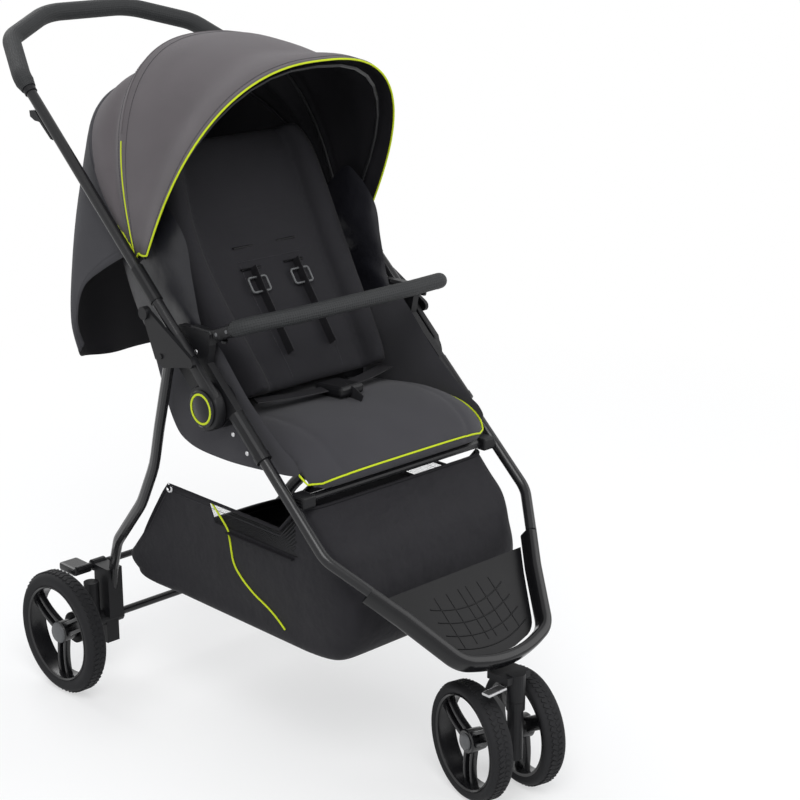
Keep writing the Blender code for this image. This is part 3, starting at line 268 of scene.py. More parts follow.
class Tree:
    """Builds one material's nodes."""

    def __init__(self, name):
        self.material = bpy.data.materials.new(name)
        self.material.use_nodes = True
        self.nodes = self.material.node_tree.nodes
        self.shader = self.nodes["Principled BSDF"]
        self.at = self.add("ShaderNodeTexCoord", output="Object")

    def add(self, kind, values=(), output=0, **settings):
        """A node with its settings made first, then its inputs by place or by name."""
        node = self.nodes.new(kind)
        for key, value in settings.items():
            setattr(node, key, value)
        for key, value in values.items() if isinstance(values, dict) else enumerate(values):
            self.feed(node, key, value)
        return Wire(self, node.outputs[output])

    def feed(self, node, key, value):
        """Links a wire to an input, or sets a plain value."""
        if isinstance(value, Wire):
            self.material.node_tree.links.new(value.socket, node.inputs[key])
        elif value is not None:
            node.inputs[key].default_value = value

    def split(self, vector):
        node = self.add("ShaderNodeSeparateXYZ", [vector]).socket.node
        return [Wire(self, socket) for socket in node.outputs]

    def uv(self):
        """The piece's own map, which is in metres."""
        return self.add("ShaderNodeUVMap", uv_map="cloth")

    def noise(self, scale, detail):
        return self.add("ShaderNodeTexNoise", {"Vector": self.at, "Scale": scale, "Detail": detail})

    def cells(self, pitch, randomness, distance="EUCLIDEAN"):
        """Distance to the nearest of the points that lie a pitch apart on the map."""
        values = {"Vector": self.uv(), "Scale": 1.0 / pitch, "Randomness": randomness}
        return self.add("ShaderNodeTexVoronoi", values, voronoi_dimensions="2D", distance=distance)

    def mix(self, factor, first, second):
        first, second = (value if isinstance(value, Wire) else (*value, 1.0) for value in (first, second))
        return self.add("ShaderNodeMix", {0: factor, 6: first, 7: second}, output=2, data_type="RGBA")

    def bump(self, height, distance, strength=1.0, normal=None):
        values = {"Height": height, "Distance": distance, "Strength": strength, "Normal": normal}
        return self.add("ShaderNodeBump", values)

    def finish(self, color, roughness, normal=None, **plain):
        """Feeds the shader; further values go on its sockets of that name."""
        color = color if isinstance(color, Wire) else (*color, 1.0)
        values = {"Base Color": color, "Roughness": roughness, "Normal": normal}
        values.update((key.replace("_", " "), value) for key, value in plain.items())
        for key, value in values.items():
            self.feed(self.shader, key, value)
        return self.material


def clamp(value):
    return max(0.0, min(1.0, value))


def shaded(color, factor):
    return tuple(min(1.0, channel * factor) for channel in color)


def plane_pair(tree):
    """Two coordinates along the surface, taken from the axes that it faces least."""
    x, y, z = tree.split(tree.at)
    facing = tree.split(tree.add("ShaderNodeTexCoord", output="Normal"))
    side, front, top = (part.size() for part in facing)
    sideways = side > front.most(top)
    upward = top > front.most(side)
    first = x + (y - x) * sideways
    second = z + (y - z) * upward
    return first, second


def woven(name, color, pitch, depth, sheen, roughness=0.85, fleck=0.25, creases=0.0012):
    """Plain weave: two crossed threads, with slubs and a cloudy tone."""
    tree = Tree(name)
    first, second = plane_pair(tree)
    turns = 2.0 * math.pi / pitch
    warp = (first * turns).sine()
    weft = (second * turns).sine()
    weave = (warp * weft) * 0.5 + 0.5
    slub = tree.noise(900.0, 2.0)
    cloud = tree.noise(14.0, 3.0)
    fold = tree.noise(32.0, 2.0)
    tone = (cloud * 0.5 + slub * fleck + weave * 0.18).clamp()
    cloth_tone = tree.mix(tone, shaded(color, 0.72), shaded(color, 1.32))
    coarse = tree.bump(fold, creases, 0.35)
    normal = tree.bump(weave + slub * 0.6, depth, 0.7, coarse)
    return tree.finish(cloth_tone, roughness, normal, Specular_IOR_Level=0.15, Sheen_Weight=sheen,
                       Sheen_Roughness=0.55)


def satin_cloth(name, color):
    """Tight shiny cloth that creases over its filling."""
    tree = Tree(name)
    first, second = plane_pair(tree)
    weave = ((first * 5200.0).sine() * (second * 5200.0).sine()) * 0.5 + 0.5
    crease = tree.noise(15.0, 2.0)
    fine = tree.noise(70.0, 3.0)
    normal = tree.bump(weave, 0.00012, 0.5, tree.bump(crease + fine * 0.12, 0.0060, 0.7))
    gloss = 0.34 + crease * 0.16
    # The colour follows the creases: painted shade in their hollows and painted highlight on their crests
    cloth_tone = tree.mix(crease, shaded(color, 0.8), shaded(color, 1.25))
    return tree.finish(cloth_tone, gloss, normal, Specular_IOR_Level=0.45)


def plain_finish(name, color, rub, grain, rough, specular, shades=(0.85, 1.2)):
    """A coating or moulding: its tone and gloss wander with a slow noise, and a fine one roughens it.

    rub and grain are (scale, detail) of the noises, the second with its depth and strength.
    """
    tree = Tree(name)
    slow = tree.noise(*rub)
    fine = tree.noise(*grain[:2])
    tone = tree.mix(slow, shaded(color, shades[0]), shaded(color, shades[1]))
    return tree.finish(tone, rough[0] + slow * rough[1], tree.bump(fine, *grain[2:]),
                       Specular_IOR_Level=specular)


def moulded(name, color, rough=0.42, grain=0.00010, specular=0.22):
    """Moulded plastic with spark-eroded grain."""
    return plain_finish(name, color, (22.0, 3.0), (2200.0, 2.0, grain, 0.6), (rough - 0.05, 0.12), specular)


def dotted_foam(name, color, pitch, depth):
    """Foam grip with rows of pressed dimples."""
    tree = Tree(name)
    dimple = tree.cells(pitch, 0.12)
    grain = tree.noise(1500.0, 2.0)
    # The colour is darker in each dimple and lighter on the rims between them: painted shade in the dimples
    tone = tree.mix((dimple * 1.6).clamp(), shaded(color, 0.55), shaded(color, 1.35))
    height = (dimple * 1.8).clamp() + grain * 0.15
    return tree.finish(tone, 0.66, tree.bump(height, depth, 0.9), Specular_IOR_Level=0.35)


def plated(name):
    """Brushed zinc plating."""
    tree = Tree(name)
    brush = tree.noise(500.0, 3.0)
    tone = tree.mix(brush, (0.45, 0.45, 0.46), (0.66, 0.66, 0.67))
    return tree.finish(tone, 0.22 + brush * 0.18, tree.bump(brush, 0.00004, 0.5), Metallic=1.0)


def ribbed_webbing(name, color):
    """Narrow woven strap with ribs across it."""
    tree = Tree(name)
    parts = tree.split(tree.uv())
    rib = (parts[1] * (2.0 * math.pi / 0.0016)).sine() * 0.5 + 0.5
    thread = (parts[0] * (2.0 * math.pi / 0.0012)).sine() * 0.5 + 0.5
    tone = tree.mix(rib * thread, shaded(color, 0.7), shaded(color, 1.5))
    return tree.finish(tone, 0.62, tree.bump(rib + thread * 0.4, 0.0003, 0.7), Specular_IOR_Level=0.35)


def net(name, color, pitch, hole=0.62):
    """Open net: threads on the UV grid, see-through between them."""
    tree = Tree(name)
    holes = tree.cells(pitch, 0.0, "CHEBYCHEV")
    thread = holes > hole * 0.5
    return tree.finish(color, 0.6, tree.bump(holes, 0.0003, 0.5), Specular_IOR_Level=0.3, Alpha=thread)


FINISHES = {}


def make_finishes():
    """All the materials, by the name that the pieces ask for."""
    tint = colors()
    FINISHES.clear()
    FINISHES.update({
        "canopy_cloth": woven("canopy_cloth", tint.canopy, 0.0011, 0.00022, 0.10),
        "seat_cloth": woven("seat_cloth", tint.seat, 0.0012, 0.00025, 0.08),
        "back_cloth": woven("back_cloth", tint.back, 0.0012, 0.00022, 0.03, 0.72),
        "lining": woven("lining", tint.lining, 0.0012, 0.00018, 0.0, 0.70),
        "bag_cloth": woven("bag_cloth", shaded(tint.lining, 1.25), 0.0012, 0.00018, 0.02, 0.62, 0.25, 0.0090),
        "satin": satin_cloth("satin", tint.satin),
        "piping": woven("piping", tint.piping, 0.0010, 0.00010, 0.0, 0.6, 0.1),
        "coating": plain_finish("coating", tint.coating, (18.0, 3.0), (1400.0, 2.0, 0.00006, 0.5),
                                (0.20, 0.10), 0.34),
        "plastic": moulded("plastic", tint.plastic),
        "gloss_plastic": moulded("gloss_plastic", shaded(tint.plastic, 0.8), 0.20, 0.00003, 0.28),
        "tray": moulded("tray", shaded(tint.plastic, 0.7), 0.30, 0.00003, 0.14),
        "foam": dotted_foam("foam", tint.foam, 0.0036, 0.0005),
        "bumper_foam": dotted_foam("bumper_foam", tint.foam, 0.0042, 0.0007),
        "rubber": plain_finish("rubber", tint.rubber, (60.0, 4.0), (1600.0, 2.0, 0.00012, 0.6),
                               (0.62, 0.2), 0.2, (0.8, 1.5)),
        "rim": plain_finish("rim", shaded(tint.plastic, 0.9), (30.0, 2.0), (30.0, 2.0, 0.0002, 0.2),
                            (0.20, 0.10), 0.5),
        "cap": moulded("cap", tint.cap, 0.40),
        "steel": plated("steel"),
        "webbing": ribbed_webbing("webbing", tint.lining),
        "net": net("net", (0.03, 0.03, 0.032), 0.0028, 0.91),
        "pale_tape": moulded("pale_tape", (0.42, 0.42, 0.44), 0.6),
        "thread": moulded("thread", shaded(tint.seat, 0.9), 0.7),
        "lime_thread": moulded("lime_thread", tint.piping, 0.6),
    })


# Mesh building

def shade(obj, degrees=40):
    """Smooth faces, with edges kept sharp above the angle."""
    obj.data.shade_smooth()
    obj.data.set_sharp_from_angle(angle=math.radians(degrees))
    return obj


def free_mesh(name, work):
    """The worked faces as a mesh."""
    mesh = bpy.data.meshes.new(name)
    work.to_mesh(mesh)
    work.free()
    return mesh


def link_mesh(name, mesh, finish):
    """Puts a mesh in the scene, moved from the frame of the drawing to that of the assembly."""
    mesh.transform(Matrix.Translation(SHIFT))
    obj = bpy.data.objects.new(name, mesh)
    bpy.context.scene.collection.objects.link(obj)
    for key in ([finish] if isinstance(finish, str) else finish):
        mesh.materials.append(FINISHES[key])
    obj["finish"] = finish if isinstance(finish, str) else finish[0]
    return obj


def skin(name, rows, finish, wrap=False, caps=False, degrees=40):
    """Faces between rows of points, with a map in metres. Wrapped rows may get end caps."""
    count = len(rows[0])
    span = count if wrap else count - 1
    across = [0.0]
    middle = rows[len(rows) // 2]
    for index in range(span):
        across.append(across[-1] + (middle[(index + 1) % count] - middle[index]).length)
    along = [0.0]
    for low, high in zip(rows, rows[1:]):
        along.append(along[-1] + max((high[0] - low[0]).length, (high[count // 2] - low[count // 2]).length))
    work = bmesh.new()
    layer = work.loops.layers.uv.new("cloth")
    grid = [[work.verts.new(point) for point in row] for row in rows]
    for i in range(len(rows) - 1):
        for j in range(span):
            k = (j + 1) % count
            face = work.faces.new((grid[i][j], grid[i][k], grid[i + 1][k], grid[i + 1][j]))
            spots = ((across[j], along[i]), (across[j + 1], along[i]), (across[j + 1], along[i + 1]),
                     (across[j], along[i + 1]))
            for loop, spot in zip(face.loops, spots):
                loop[layer].uv = spot
    if caps:
        work.faces.new(grid[0][::-1])
        work.faces.new(grid[-1])
    if caps or wrap:
        bmesh.ops.remove_doubles(work, verts=work.verts, dist=0.000005)
        bmesh.ops.recalc_face_normals(work, faces=work.faces)
    return shade(link_mesh(name, free_mesh(name, work), finish), degrees)


def frames(path, up=None):
    """Two cross directions at each point of a path, turned as little as possible."""
    result = []
    side = None
    for index in range(len(path)):
        run = (path[min(index + 1, len(path) - 1)] - path[max(index - 1, 0)]).normalized()
        if up is not None:
            side = run.cross(Vector(up)).normalized()
        elif side is None:
            guess = Vector((0, 0, 1)) if abs(run.z) < 0.9 else Vector((0, 1, 0))
            side = run.cross(guess).normalized()
        else:
            side = (side - run * side.dot(run)).normalized()
        result.append((side, side.cross(run)))
    return result


def sweep(name, path, width, finish, height=None, power=2.0, sides=20, up=None, caps=True, degrees=40):
    """A rod along a path; width and height are half sizes, or functions of the share of its length."""
    path = [Vector(point) for point in path]
    rows = []
    for index, (point, (side, rise)) in enumerate(zip(path, frames(path, up))):
        t = index / (len(path) - 1)
        a = width(t) if callable(width) else width
        b = a if height is None else (height(t) if callable(height) else height)
        row = []
        for step in range(sides):
            angle = 2.0 * math.pi * step / sides
            c, s = math.cos(angle), math.sin(angle)
            row.append(point + side * (a * math.copysign(abs(c) ** (2.0 / power), c))
                       + rise * (b * math.copysign(abs(s) ** (2.0 / power), s)))
        rows.append(row)
    return skin(name, rows, finish, wrap=True, caps=caps, degrees=degrees)


def lathe(name, profile, center, axis, finish, steps=64, degrees=35):
    """A turned piece: (radius, height) points; a first point repeated last closes the ring."""
    axis = Vector(axis).normalized()
    side = axis.orthogonal().normalized()
    other = axis.cross(side)
    rows = []
    for radius, height in profile:
        middle = Vector(center) + axis * height
        ring = []
        for step in range(steps):
            angle = 2.0 * math.pi * step / steps
            ring.append(middle + (side * math.cos(angle) + other * math.sin(angle)) * max(radius, 0.00002))
        rows.append(ring)
    closed = profile[0] == profile[-1]
    return skin(name, rows, finish, wrap=True, caps=not closed, degrees=degrees)


def between(p0, p1, p2, p3, t):
    """The smooth curve from p1 to p2, for points or for numbers."""
    return 0.5 * (2 * p1 + (p2 - p0) * t + (2 * p0 - 5 * p1 + 4 * p2 - p3) * t ** 2
                  + (3 * p1 - p0 - 3 * p2 + p3) * t ** 3)


def catmull(points, count):
    """A smooth line through the points, in even steps of their number."""
    points = [Vector(point) for point in points]
    ends = [points[0] * 2 - points[1]] + points + [points[-1] * 2 - points[-2]]
    result = []
    for step in range(count + 1):
        place = step / count * (len(points) - 1)
        index = min(int(place), len(points) - 2)
        result.append(between(*ends[index:index + 4], place - index))
    return result


def rounded(points, radii, steps=10):
    """The polyline through the points, with arcs at its inner corners."""
    corners = [Vector(point) for point in points]
    path = [corners[0]]
    for index in range(1, len(corners) - 1):
        corner = corners[index]
        back = (corners[index - 1] - corner).normalized()
        ahead = (corners[index + 1] - corner).normalized()
        half = back.angle(ahead) / 2.0
        radius = radii[index - 1]
        reach = radius / math.tan(half)
        center = corner + (back + ahead).normalized() * (radius / math.sin(half))
        first, last = corner + back * reach - center, corner + ahead * reach - center
        sweep_angle = first.angle(last)
        for step in range(steps + 1):
            t = step / steps
            path.append(center + (math.sin((1 - t) * sweep_angle) * first + math.sin(t * sweep_angle) * last)
                        / math.sin(sweep_angle))
    path.append(corners[-1])
    return path


def slab(name, outline, low, high, finish, width):
    """An outline in (y, z), given thickness from x low to x high, with rounded edges."""
    work = bmesh.new()
    face = work.faces.new([work.verts.new((low, y, z)) for y, z in outline])
    grown = bmesh.ops.extrude_face_region(work, geom=[face])
    moved = [item for item in grown["geom"] if isinstance(item, bmesh.types.BMVert)]
    bmesh.ops.translate(work, vec=(high - low, 0, 0), verts=moved)
    bmesh.ops.recalc_face_normals(work, faces=work.faces)
    sharp = [edge for edge in work.edges if len(edge.link_faces) == 2 and edge.calc_face_angle() > 0.6]
    bmesh.ops.bevel(work, geom=sharp, offset=width, segments=3, profile=0.5, affect="EDGES",
                    clamp_overlap=True)
    return shade(link_mesh(name, free_mesh(name, work), finish))


def join(name, pieces):
    """Several meshes as one object, with their materials kept."""
    materials = []
    work = bmesh.new()
    for piece in pieces:
        places = []
        for material in piece.data.materials:
            if material not in materials:
                materials.append(material)
            places.append(materials.index(material))
        start = len(work.faces)
        work.from_mesh(piece.data)
        work.faces.ensure_lookup_table()
        for face in work.faces[start:]:
            face.material_index = places[min(face.material_index, len(places) - 1)]
    mesh = free_mesh(name, work)
    for material in materials:
        mesh.materials.append(material)
    finish = pieces[0]["finish"]
    for piece in pieces:
        bpy.data.objects.remove(piece, do_unlink=True)
    obj = bpy.data.objects.new(name, mesh)
    bpy.context.scene.collection.objects.link(obj)
    obj["finish"] = finish
    return obj


def apply_modifiers(obj):
    graph = bpy.context.evaluated_depsgraph_get()
    graph.update()
    mesh = bpy.data.meshes.new_from_object(obj.evaluated_get(graph))
    obj.modifiers.clear()
    obj.data = mesh
    return obj


def thicken(obj, thickness):
    """Gives a sheet its thickness; its inner side takes the second material."""
    solid = obj.modifiers.new("cloth", "SOLIDIFY")
    solid.thickness = thickness
    solid.offset = -1.0
    solid.material_offset = 1
    return apply_modifiers(obj)


def take_slot(obj):
    """Drops the record of the piece's finish."""
    del obj["finish"]


def put(obj, body, replaced=None):
    """Parents the piece to its body and hides the CAD node that it replaces; drops the record of its finish.
    """
    take_slot(obj)
    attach(obj, body)
    if replaced:
        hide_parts(replaced)


# Repeated pieces

def node_tree(name, finish, inputs, kinds, links, **settings):
    """A Geometry Nodes tree from tables, ending in Realize Instances and Set Material.

    inputs are names with kinds of socket, kinds are node types by short name, settings name a node and
    its (property, value), and each line of links reads "node.Output > node.Input". The repeated
    geometry goes to "real"; what is kept goes to "coat".
    """
    tree = bpy.data.node_groups.new(name, "GeometryNodeTree")
    for socket, kind in {"Geometry": "Geometry", **inputs}.items():
        tree.interface.new_socket(socket, in_out="INPUT", socket_type=f"NodeSocket{kind}")
    tree.interface.new_socket("Geometry", in_out="OUTPUT", socket_type="NodeSocketGeometry")
    nodes = {key: tree.nodes.new(kind) for key, kind in kinds.items()}
    for key, kind in (("in", "NodeGroupInput"), ("out", "NodeGroupOutput"),
                      ("real", "GeometryNodeRealizeInstances"), ("coat", "GeometryNodeSetMaterial")):
        nodes[key] = tree.nodes.new(kind)
    for key, (setting, value) in settings.items():
        setattr(nodes[key], setting, value)
    nodes["coat"].inputs["Material"].default_value = FINISHES[finish]
    for link in links.strip().splitlines() + ["coat.Geometry > out.Geometry"]:
        (start, output), (end, goal) = (part.strip().split(".") for part in link.split(">"))
        tree.links.new(nodes[start].outputs[output], nodes[end].inputs[goal])
    return tree, nodes


def scatter_tree(name, finish):
    """Nodes that set copies of one small piece along the edges of the object."""
    tree, nodes = node_tree(name, finish, {"Spacing": "Float", "Length": "Float", "Radius": "Float"}, {
        "curve": "GeometryNodeMeshToCurve", "even": "GeometryNodeResampleCurve",
        "stitch": "GeometryNodeMeshCylinder", "turn": "FunctionNodeAlignRotationToVector",
        "tangent": "GeometryNodeInputTangent", "spread": "GeometryNodeInstanceOnPoints"}, """
        in.Geometry > curve.Mesh
        curve.Curve > even.Curve
        in.Spacing > even.Length
        in.Length > stitch.Depth
        in.Radius > stitch.Radius
        even.Curve > spread.Points
        stitch.Mesh > spread.Instance
        tangent.Tangent > turn.Vector
        turn.Rotation > spread.Rotation
        spread.Instances > real.Geometry
        real.Geometry > coat.Geometry""", even=("mode", "LENGTH"), turn=("axis", "Z"))
    nodes["stitch"].inputs["Vertices"].default_value = 6
    return tree


def run_tree(obj, tree, values, finish):
    """Applies a tree with its inputs set, and leaves a plain mesh."""
    modifier = obj.modifiers.new("repeat", "NODES")
    modifier.node_group = tree
    for item in tree.interface.items_tree:
        if item.in_out == "INPUT" and item.name in values:
            modifier[item.identifier] = values[item.name]
    apply_modifiers(obj)
    if not obj.data.materials:
        obj.data.materials.append(FINISHES[finish])
    obj["finish"] = finish
    return obj


def line_mesh(name, lines, finish):
    """Edges along some lines, ready for a tree to repeat something on them."""
    work = bmesh.new()
    for line in lines:
        verts = [work.verts.new(point) for point in line]
        for low, high in zip(verts, verts[1:]):
            work.edges.new((low, high))
    obj = link_mesh(name, free_mesh(name, work), finish)
    obj.data.materials.clear()
    return obj


def stitches(name, lines):
    """Sewn stitches along lines that lie on the cloth."""
    values = {"Spacing": sizes().stitch_gap, "Length": sizes().stitch, "Radius": STITCH_R}
    obj = line_mesh(name, lines, "thread")
    return shade(run_tree(obj, scatter_tree(name, "thread"), values, "thread"), 60)


def cord(name, line, finish="piping", share=1.0):
    """Piping or a hem along a line."""
    return sweep(name, line, sizes().piping * share, finish, sides=10)


# Places along the frame

def frame_point(along, lift=0.0):
    """(y, z) of a point at a distance along the frame plane, lifted off it."""
    return (PLANE[0] + along * math.cos(SLOPE) - lift * math.sin(SLOPE),
            PLANE[1] + along * math.sin(SLOPE) + lift * math.cos(SLOPE))


def in_frame(x, along, lift=0.0):
    return Vector((x, *frame_point(along, lift)))


def on_handle(side, along, lift=0.0):
    x = HANDLE_X[0] + (HANDLE_X[1] - HANDLE_X[0]) * along / HANDLE_TOP
    return in_frame(x * side, along, lift)


def flip(point, side):
    return Vector((point[0] * side, point[1], point[2]))


HUB = frame_point(HUB_ALONG, HUB_LIFT)


# Frame and handle

def make_tubes():
    """Coated front tubes, bent into the hoop's sleeves, and handle tubes."""
    for label, side in SIDES:
        corners = [in_frame(FRONT_TUBE_X * side, FRONT_TUBE_TOP), in_frame(FRONT_TUBE_X * side, FRONT_BEND),
                   in_frame(SLEEVE[0] * side, SLEEVE[1] + TUCK)]
        tube = sweep(f"front_tube_skin_{label}", rounded(corners, [0.05]), TUBE_R, "coating", sides=32)
        put(tube, "chassis", f"front_tube_{label}")
        ends = [on_handle(side, HANDLE_BOTTOM + TUCK), on_handle(side, HANDLE_TOP - TUCK)]
        tube = sweep(f"handle_tube_skin_{label}", ends, TUBE_R, "coating", sides=32)
        put(tube, "handle_frame", f"handle_tube_{label}")


def grip_point(x, along):
    y, z = frame_point(HANDLE_TOP)
    return Vector((x, y + along * math.cos(GRIP_SLOPE), z + along * math.sin(GRIP_SLOPE)))


def make_grip():
    """Foam handlebar, narrower at its ends, with a plastic ring on each tube."""
    straight = HANDLE_TOP + 0.024
    half = [on_handle(1, HANDLE_TOP), on_handle(1, straight), grip_point(*GRIP_CORNER),
            grip_point(*GRIP_SHOULDER)]
    corners = half + [flip(point, -1) for point in reversed(half)]
    path = rounded(corners, [0.050, 0.045, 0.11, 0.11, 0.045, 0.050], steps=12)

    def radius(t):
        edge = min(t, 1.0 - t)
        return GRIP_R * min(1.0, 0.80 + edge * 34.0)
    pieces = [sweep("grip_foam", path, radius, "foam", sides=40)]
    for side in (-1, 1):
        ring = [on_handle(side, HANDLE_TOP - 0.009), on_handle(side, HANDLE_TOP + 0.002)]
        pieces.append(sweep("grip_ring", ring, TUBE_R + 0.0018, "plastic", sides=32))
    put(join("handlebar_foam", pieces), "handle_frame", "handlebar_grip")


def make_hoop():
    """Front hoop: a moulding with a rounded, glossy upper edge."""
    half = [SLEEVE, (0.136, -0.386), (0.088, -0.478), (0.0, -0.507)]
    corners = half + [(-x, s) for x, s in reversed(half[:-1])]
    points = [in_frame(x, s, -0.008) for x, s in corners]
    path = rounded(points, [0.09, 0.045, 0.20, 0.045, 0.09], steps=14)
    body = sweep("hoop_body", path, 0.009, "gloss_plastic", height=0.0145, power=3.4, sides=40,
                 up=(0, -math.sin(SLOPE), math.cos(SLOPE)))
    put(body, "chassis", "front_hoop")


# Wheels

def tread_tree():
    """Nodes that set slanted tread blocks round a tyre, in its own turn and place."""
    tree, nodes = node_tree("tread", "rubber", {"Count": "Int", "Radius": "Float", "Size": "Vector",
                                                "Slant": "Float", "Shift": "Float"}, {
        "circle": "GeometryNodeMeshCircle", "spread": "GeometryNodeInstanceOnPoints",
        "cube": "GeometryNodeMeshCube", "place": "GeometryNodeInputPosition",
        "turn": "FunctionNodeAlignRotationToVector",
        "slant": "GeometryNodeRotateInstances", "offset": "ShaderNodeCombineXYZ",
        "move": "GeometryNodeTranslateInstances", "push": "ShaderNodeCombineXYZ",
        "both": "GeometryNodeJoinGeometry"}, """
        in.Count > circle.Vertices
        in.Radius > circle.Radius
        circle.Mesh > spread.Points
        in.Size > cube.Size
        cube.Mesh > spread.Instance
        place.Position > turn.Vector
        turn.Rotation > spread.Rotation
        in.Slant > offset.X
        spread.Instances > slant.Instances
        offset.Vector > slant.Rotation
        slant.Instances > move.Instances
        in.Shift > push.Z
        push.Vector > move.Translation
        move.Instances > real.Geometry
        in.Geometry > both.Geometry
        real.Geometry > both.Geometry
        both.Geometry > coat.Geometry""", turn=("axis", "X"))
    nodes["move"].inputs["Local Space"].default_value = False
    return tree


def turn_to(center, axis):
    """Matrix that stands a piece made about +Z on the given axis."""
    turn = Vector((0, 0, 1)).rotation_difference(Vector(axis))
    return Matrix.Translation(Vector(center) + SHIFT) @ turn.to_matrix().to_4x4()


def make_tyre(name, center, axis, radius, rim_radius, width):
    """Tyre with a rounded tread of slanted blocks in two rows."""
    half, crown = width / 2, radius - rim_radius
    belly = crown * 0.62
    profile = []
    for step in range(25):
        angle = math.pi / 2 - math.pi * step / 24
        profile.append((radius - belly + (belly - sizes().tread) * max(0.0, math.cos(angle)) ** 0.75,
                        half * math.sin(angle)))
    profile += [(rim_radius + TUCK, -half * 0.84), (rim_radius + TUCK, half * 0.84)]
    profile.append(profile[0])
    tyre = lathe(name, profile, (0, -SHIFT_Y, 0), (0, 0, 1), "rubber", steps=96)
    tree = tread_tree()
    count = sizes().tread_count
    pitch = 2 * math.pi * radius / count
    for slant, shift in ((0.5, half * 0.28), (-0.5, -half * 0.28)):
        values = {"Count": count, "Radius": radius - sizes().tread - 0.0012,
                  "Size": (0.0036, pitch * 0.62, half * 0.50), "Slant": slant, "Shift": shift}
        run_tree(tyre, tree, values, "rubber")
    tyre.data.transform(turn_to(center, axis))
    return shade(tyre, 35)


def make_rim(name, center, axis, rim_radius, width):
    """Rim with a rolled lip, a deep hub and three pairs of ribbed spokes."""
    half = width / 2
    depth, inner = half * 0.86, rim_radius - 0.0045
    barrel = [(rim_radius, depth), (rim_radius, -depth), (inner, -depth), (inner, depth - 0.006),
              (inner + 0.001, depth - 0.001), (rim_radius - 0.001, depth + 0.0012), (rim_radius, depth)]
    center, axis = Vector(center), Vector(axis)
    pieces = [lathe(name, barrel, center, axis, "rim", steps=96)]
    face = half * HUB_FACE
    hub = [(0.0043, -half * 0.98), (0.0165, -half * 0.98), (0.0178, -half * 0.2), (0.0185, face - 0.002),
           (0.0170, face), (0.0043, face), (0.0043, -half * 0.98)]
    pieces.append(lathe(f"{name}_hub", hub, center, axis, "rim", steps=48))
    flat = axis.cross(Vector((0, 0, 1))).normalized()
    for degrees in SPOKE_ANGLES:
        angle = math.radians(degrees)
        out = flat * math.cos(angle) + Vector((0, 0, 1)) * math.sin(angle)
        across = axis.cross(out)
        for offset in (-SPOKE_GAP, SPOKE_GAP):
            start = center + out * 0.0125 + across * offset * 0.9
            end = center + out * (rim_radius - 0.003) + across * offset * 1.05
            lengthwise = [start + (end - start) * step / 8 + axis * 0.0022 * math.sin(math.pi * step / 8)
                          for step in range(9)]
            pieces.append(sweep(f"{name}_spoke", lengthwise, lambda t: 0.0030 + 0.0012 * (2 * t - 1) ** 2,
                                "rim", height=0.0058, power=3.6, up=axis))
        web = [center + out * (0.014 + (rim_radius - 0.019) * step / 8) - axis * 0.0036
               for step in range(9)]
        pieces.append(sweep(f"{name}_web", web, SPOKE_GAP, "rim", height=0.0012, power=5.0, sides=12,
                            up=axis))
    return join(name, pieces)


def make_wheel(end, label, center, axis, sizes_of, body):
    """A wheel's tyre, rim and hub cap, all turning with the body."""
    radius, rim_radius, width, cap_radius = sizes_of
    tyre = make_tyre(f"{end}_tyre_skin_{label}", center, axis, radius, rim_radius, width)
    put(tyre, body, f"{end}_tyre_{label}")
    rim = make_rim(f"{end}_rim_skin_{label}", center, axis, rim_radius, width)
    put(rim, body, f"{end}_rim_{label}")
    face = width / 2 * HUB_FACE
    cap = [(0.0, face + 0.0058), (cap_radius * 0.45, face + 0.0055), (cap_radius * 0.82, face + 0.0044),
           (cap_radius * 0.96, face + 0.0024), (cap_radius, face + 0.0004), (0.0, face + 0.0004)]
    disc = lathe(f"{end}_hub_cap_skin_{label}", cap, center, axis, "cap", steps=48, degrees=25)
    put(disc, body, f"{end}_hub_cap_{label}")


def caster_point(x, y, z):
    """A point of the front wheels' fork, which stands turned on its stem."""
    turn = Matrix.Rotation(CASTER_ANGLE, 4, "Z")
    return Matrix.Translation((0, STEM_Y, 0)) @ turn @ Vector((x, y, z))


def make_wheels():
    across = caster_point(1, 0, 0) - caster_point(0, 0, 0)
    for label, side in SIDES:
        center = (REAR_WHEEL_X * side, AXLE_Y, REAR_WHEEL[0])
        make_wheel("rear", label, center, (side, 0, 0), REAR_WHEEL, f"rear_wheel_{label}")
        center = caster_point(FRONT_WHEEL_X * side, CASTER_TRAIL, FRONT_WHEEL[0])
        make_wheel("front", label, center, across * side, FRONT_WHEEL, f"front_wheel_{label}")


# Hubs

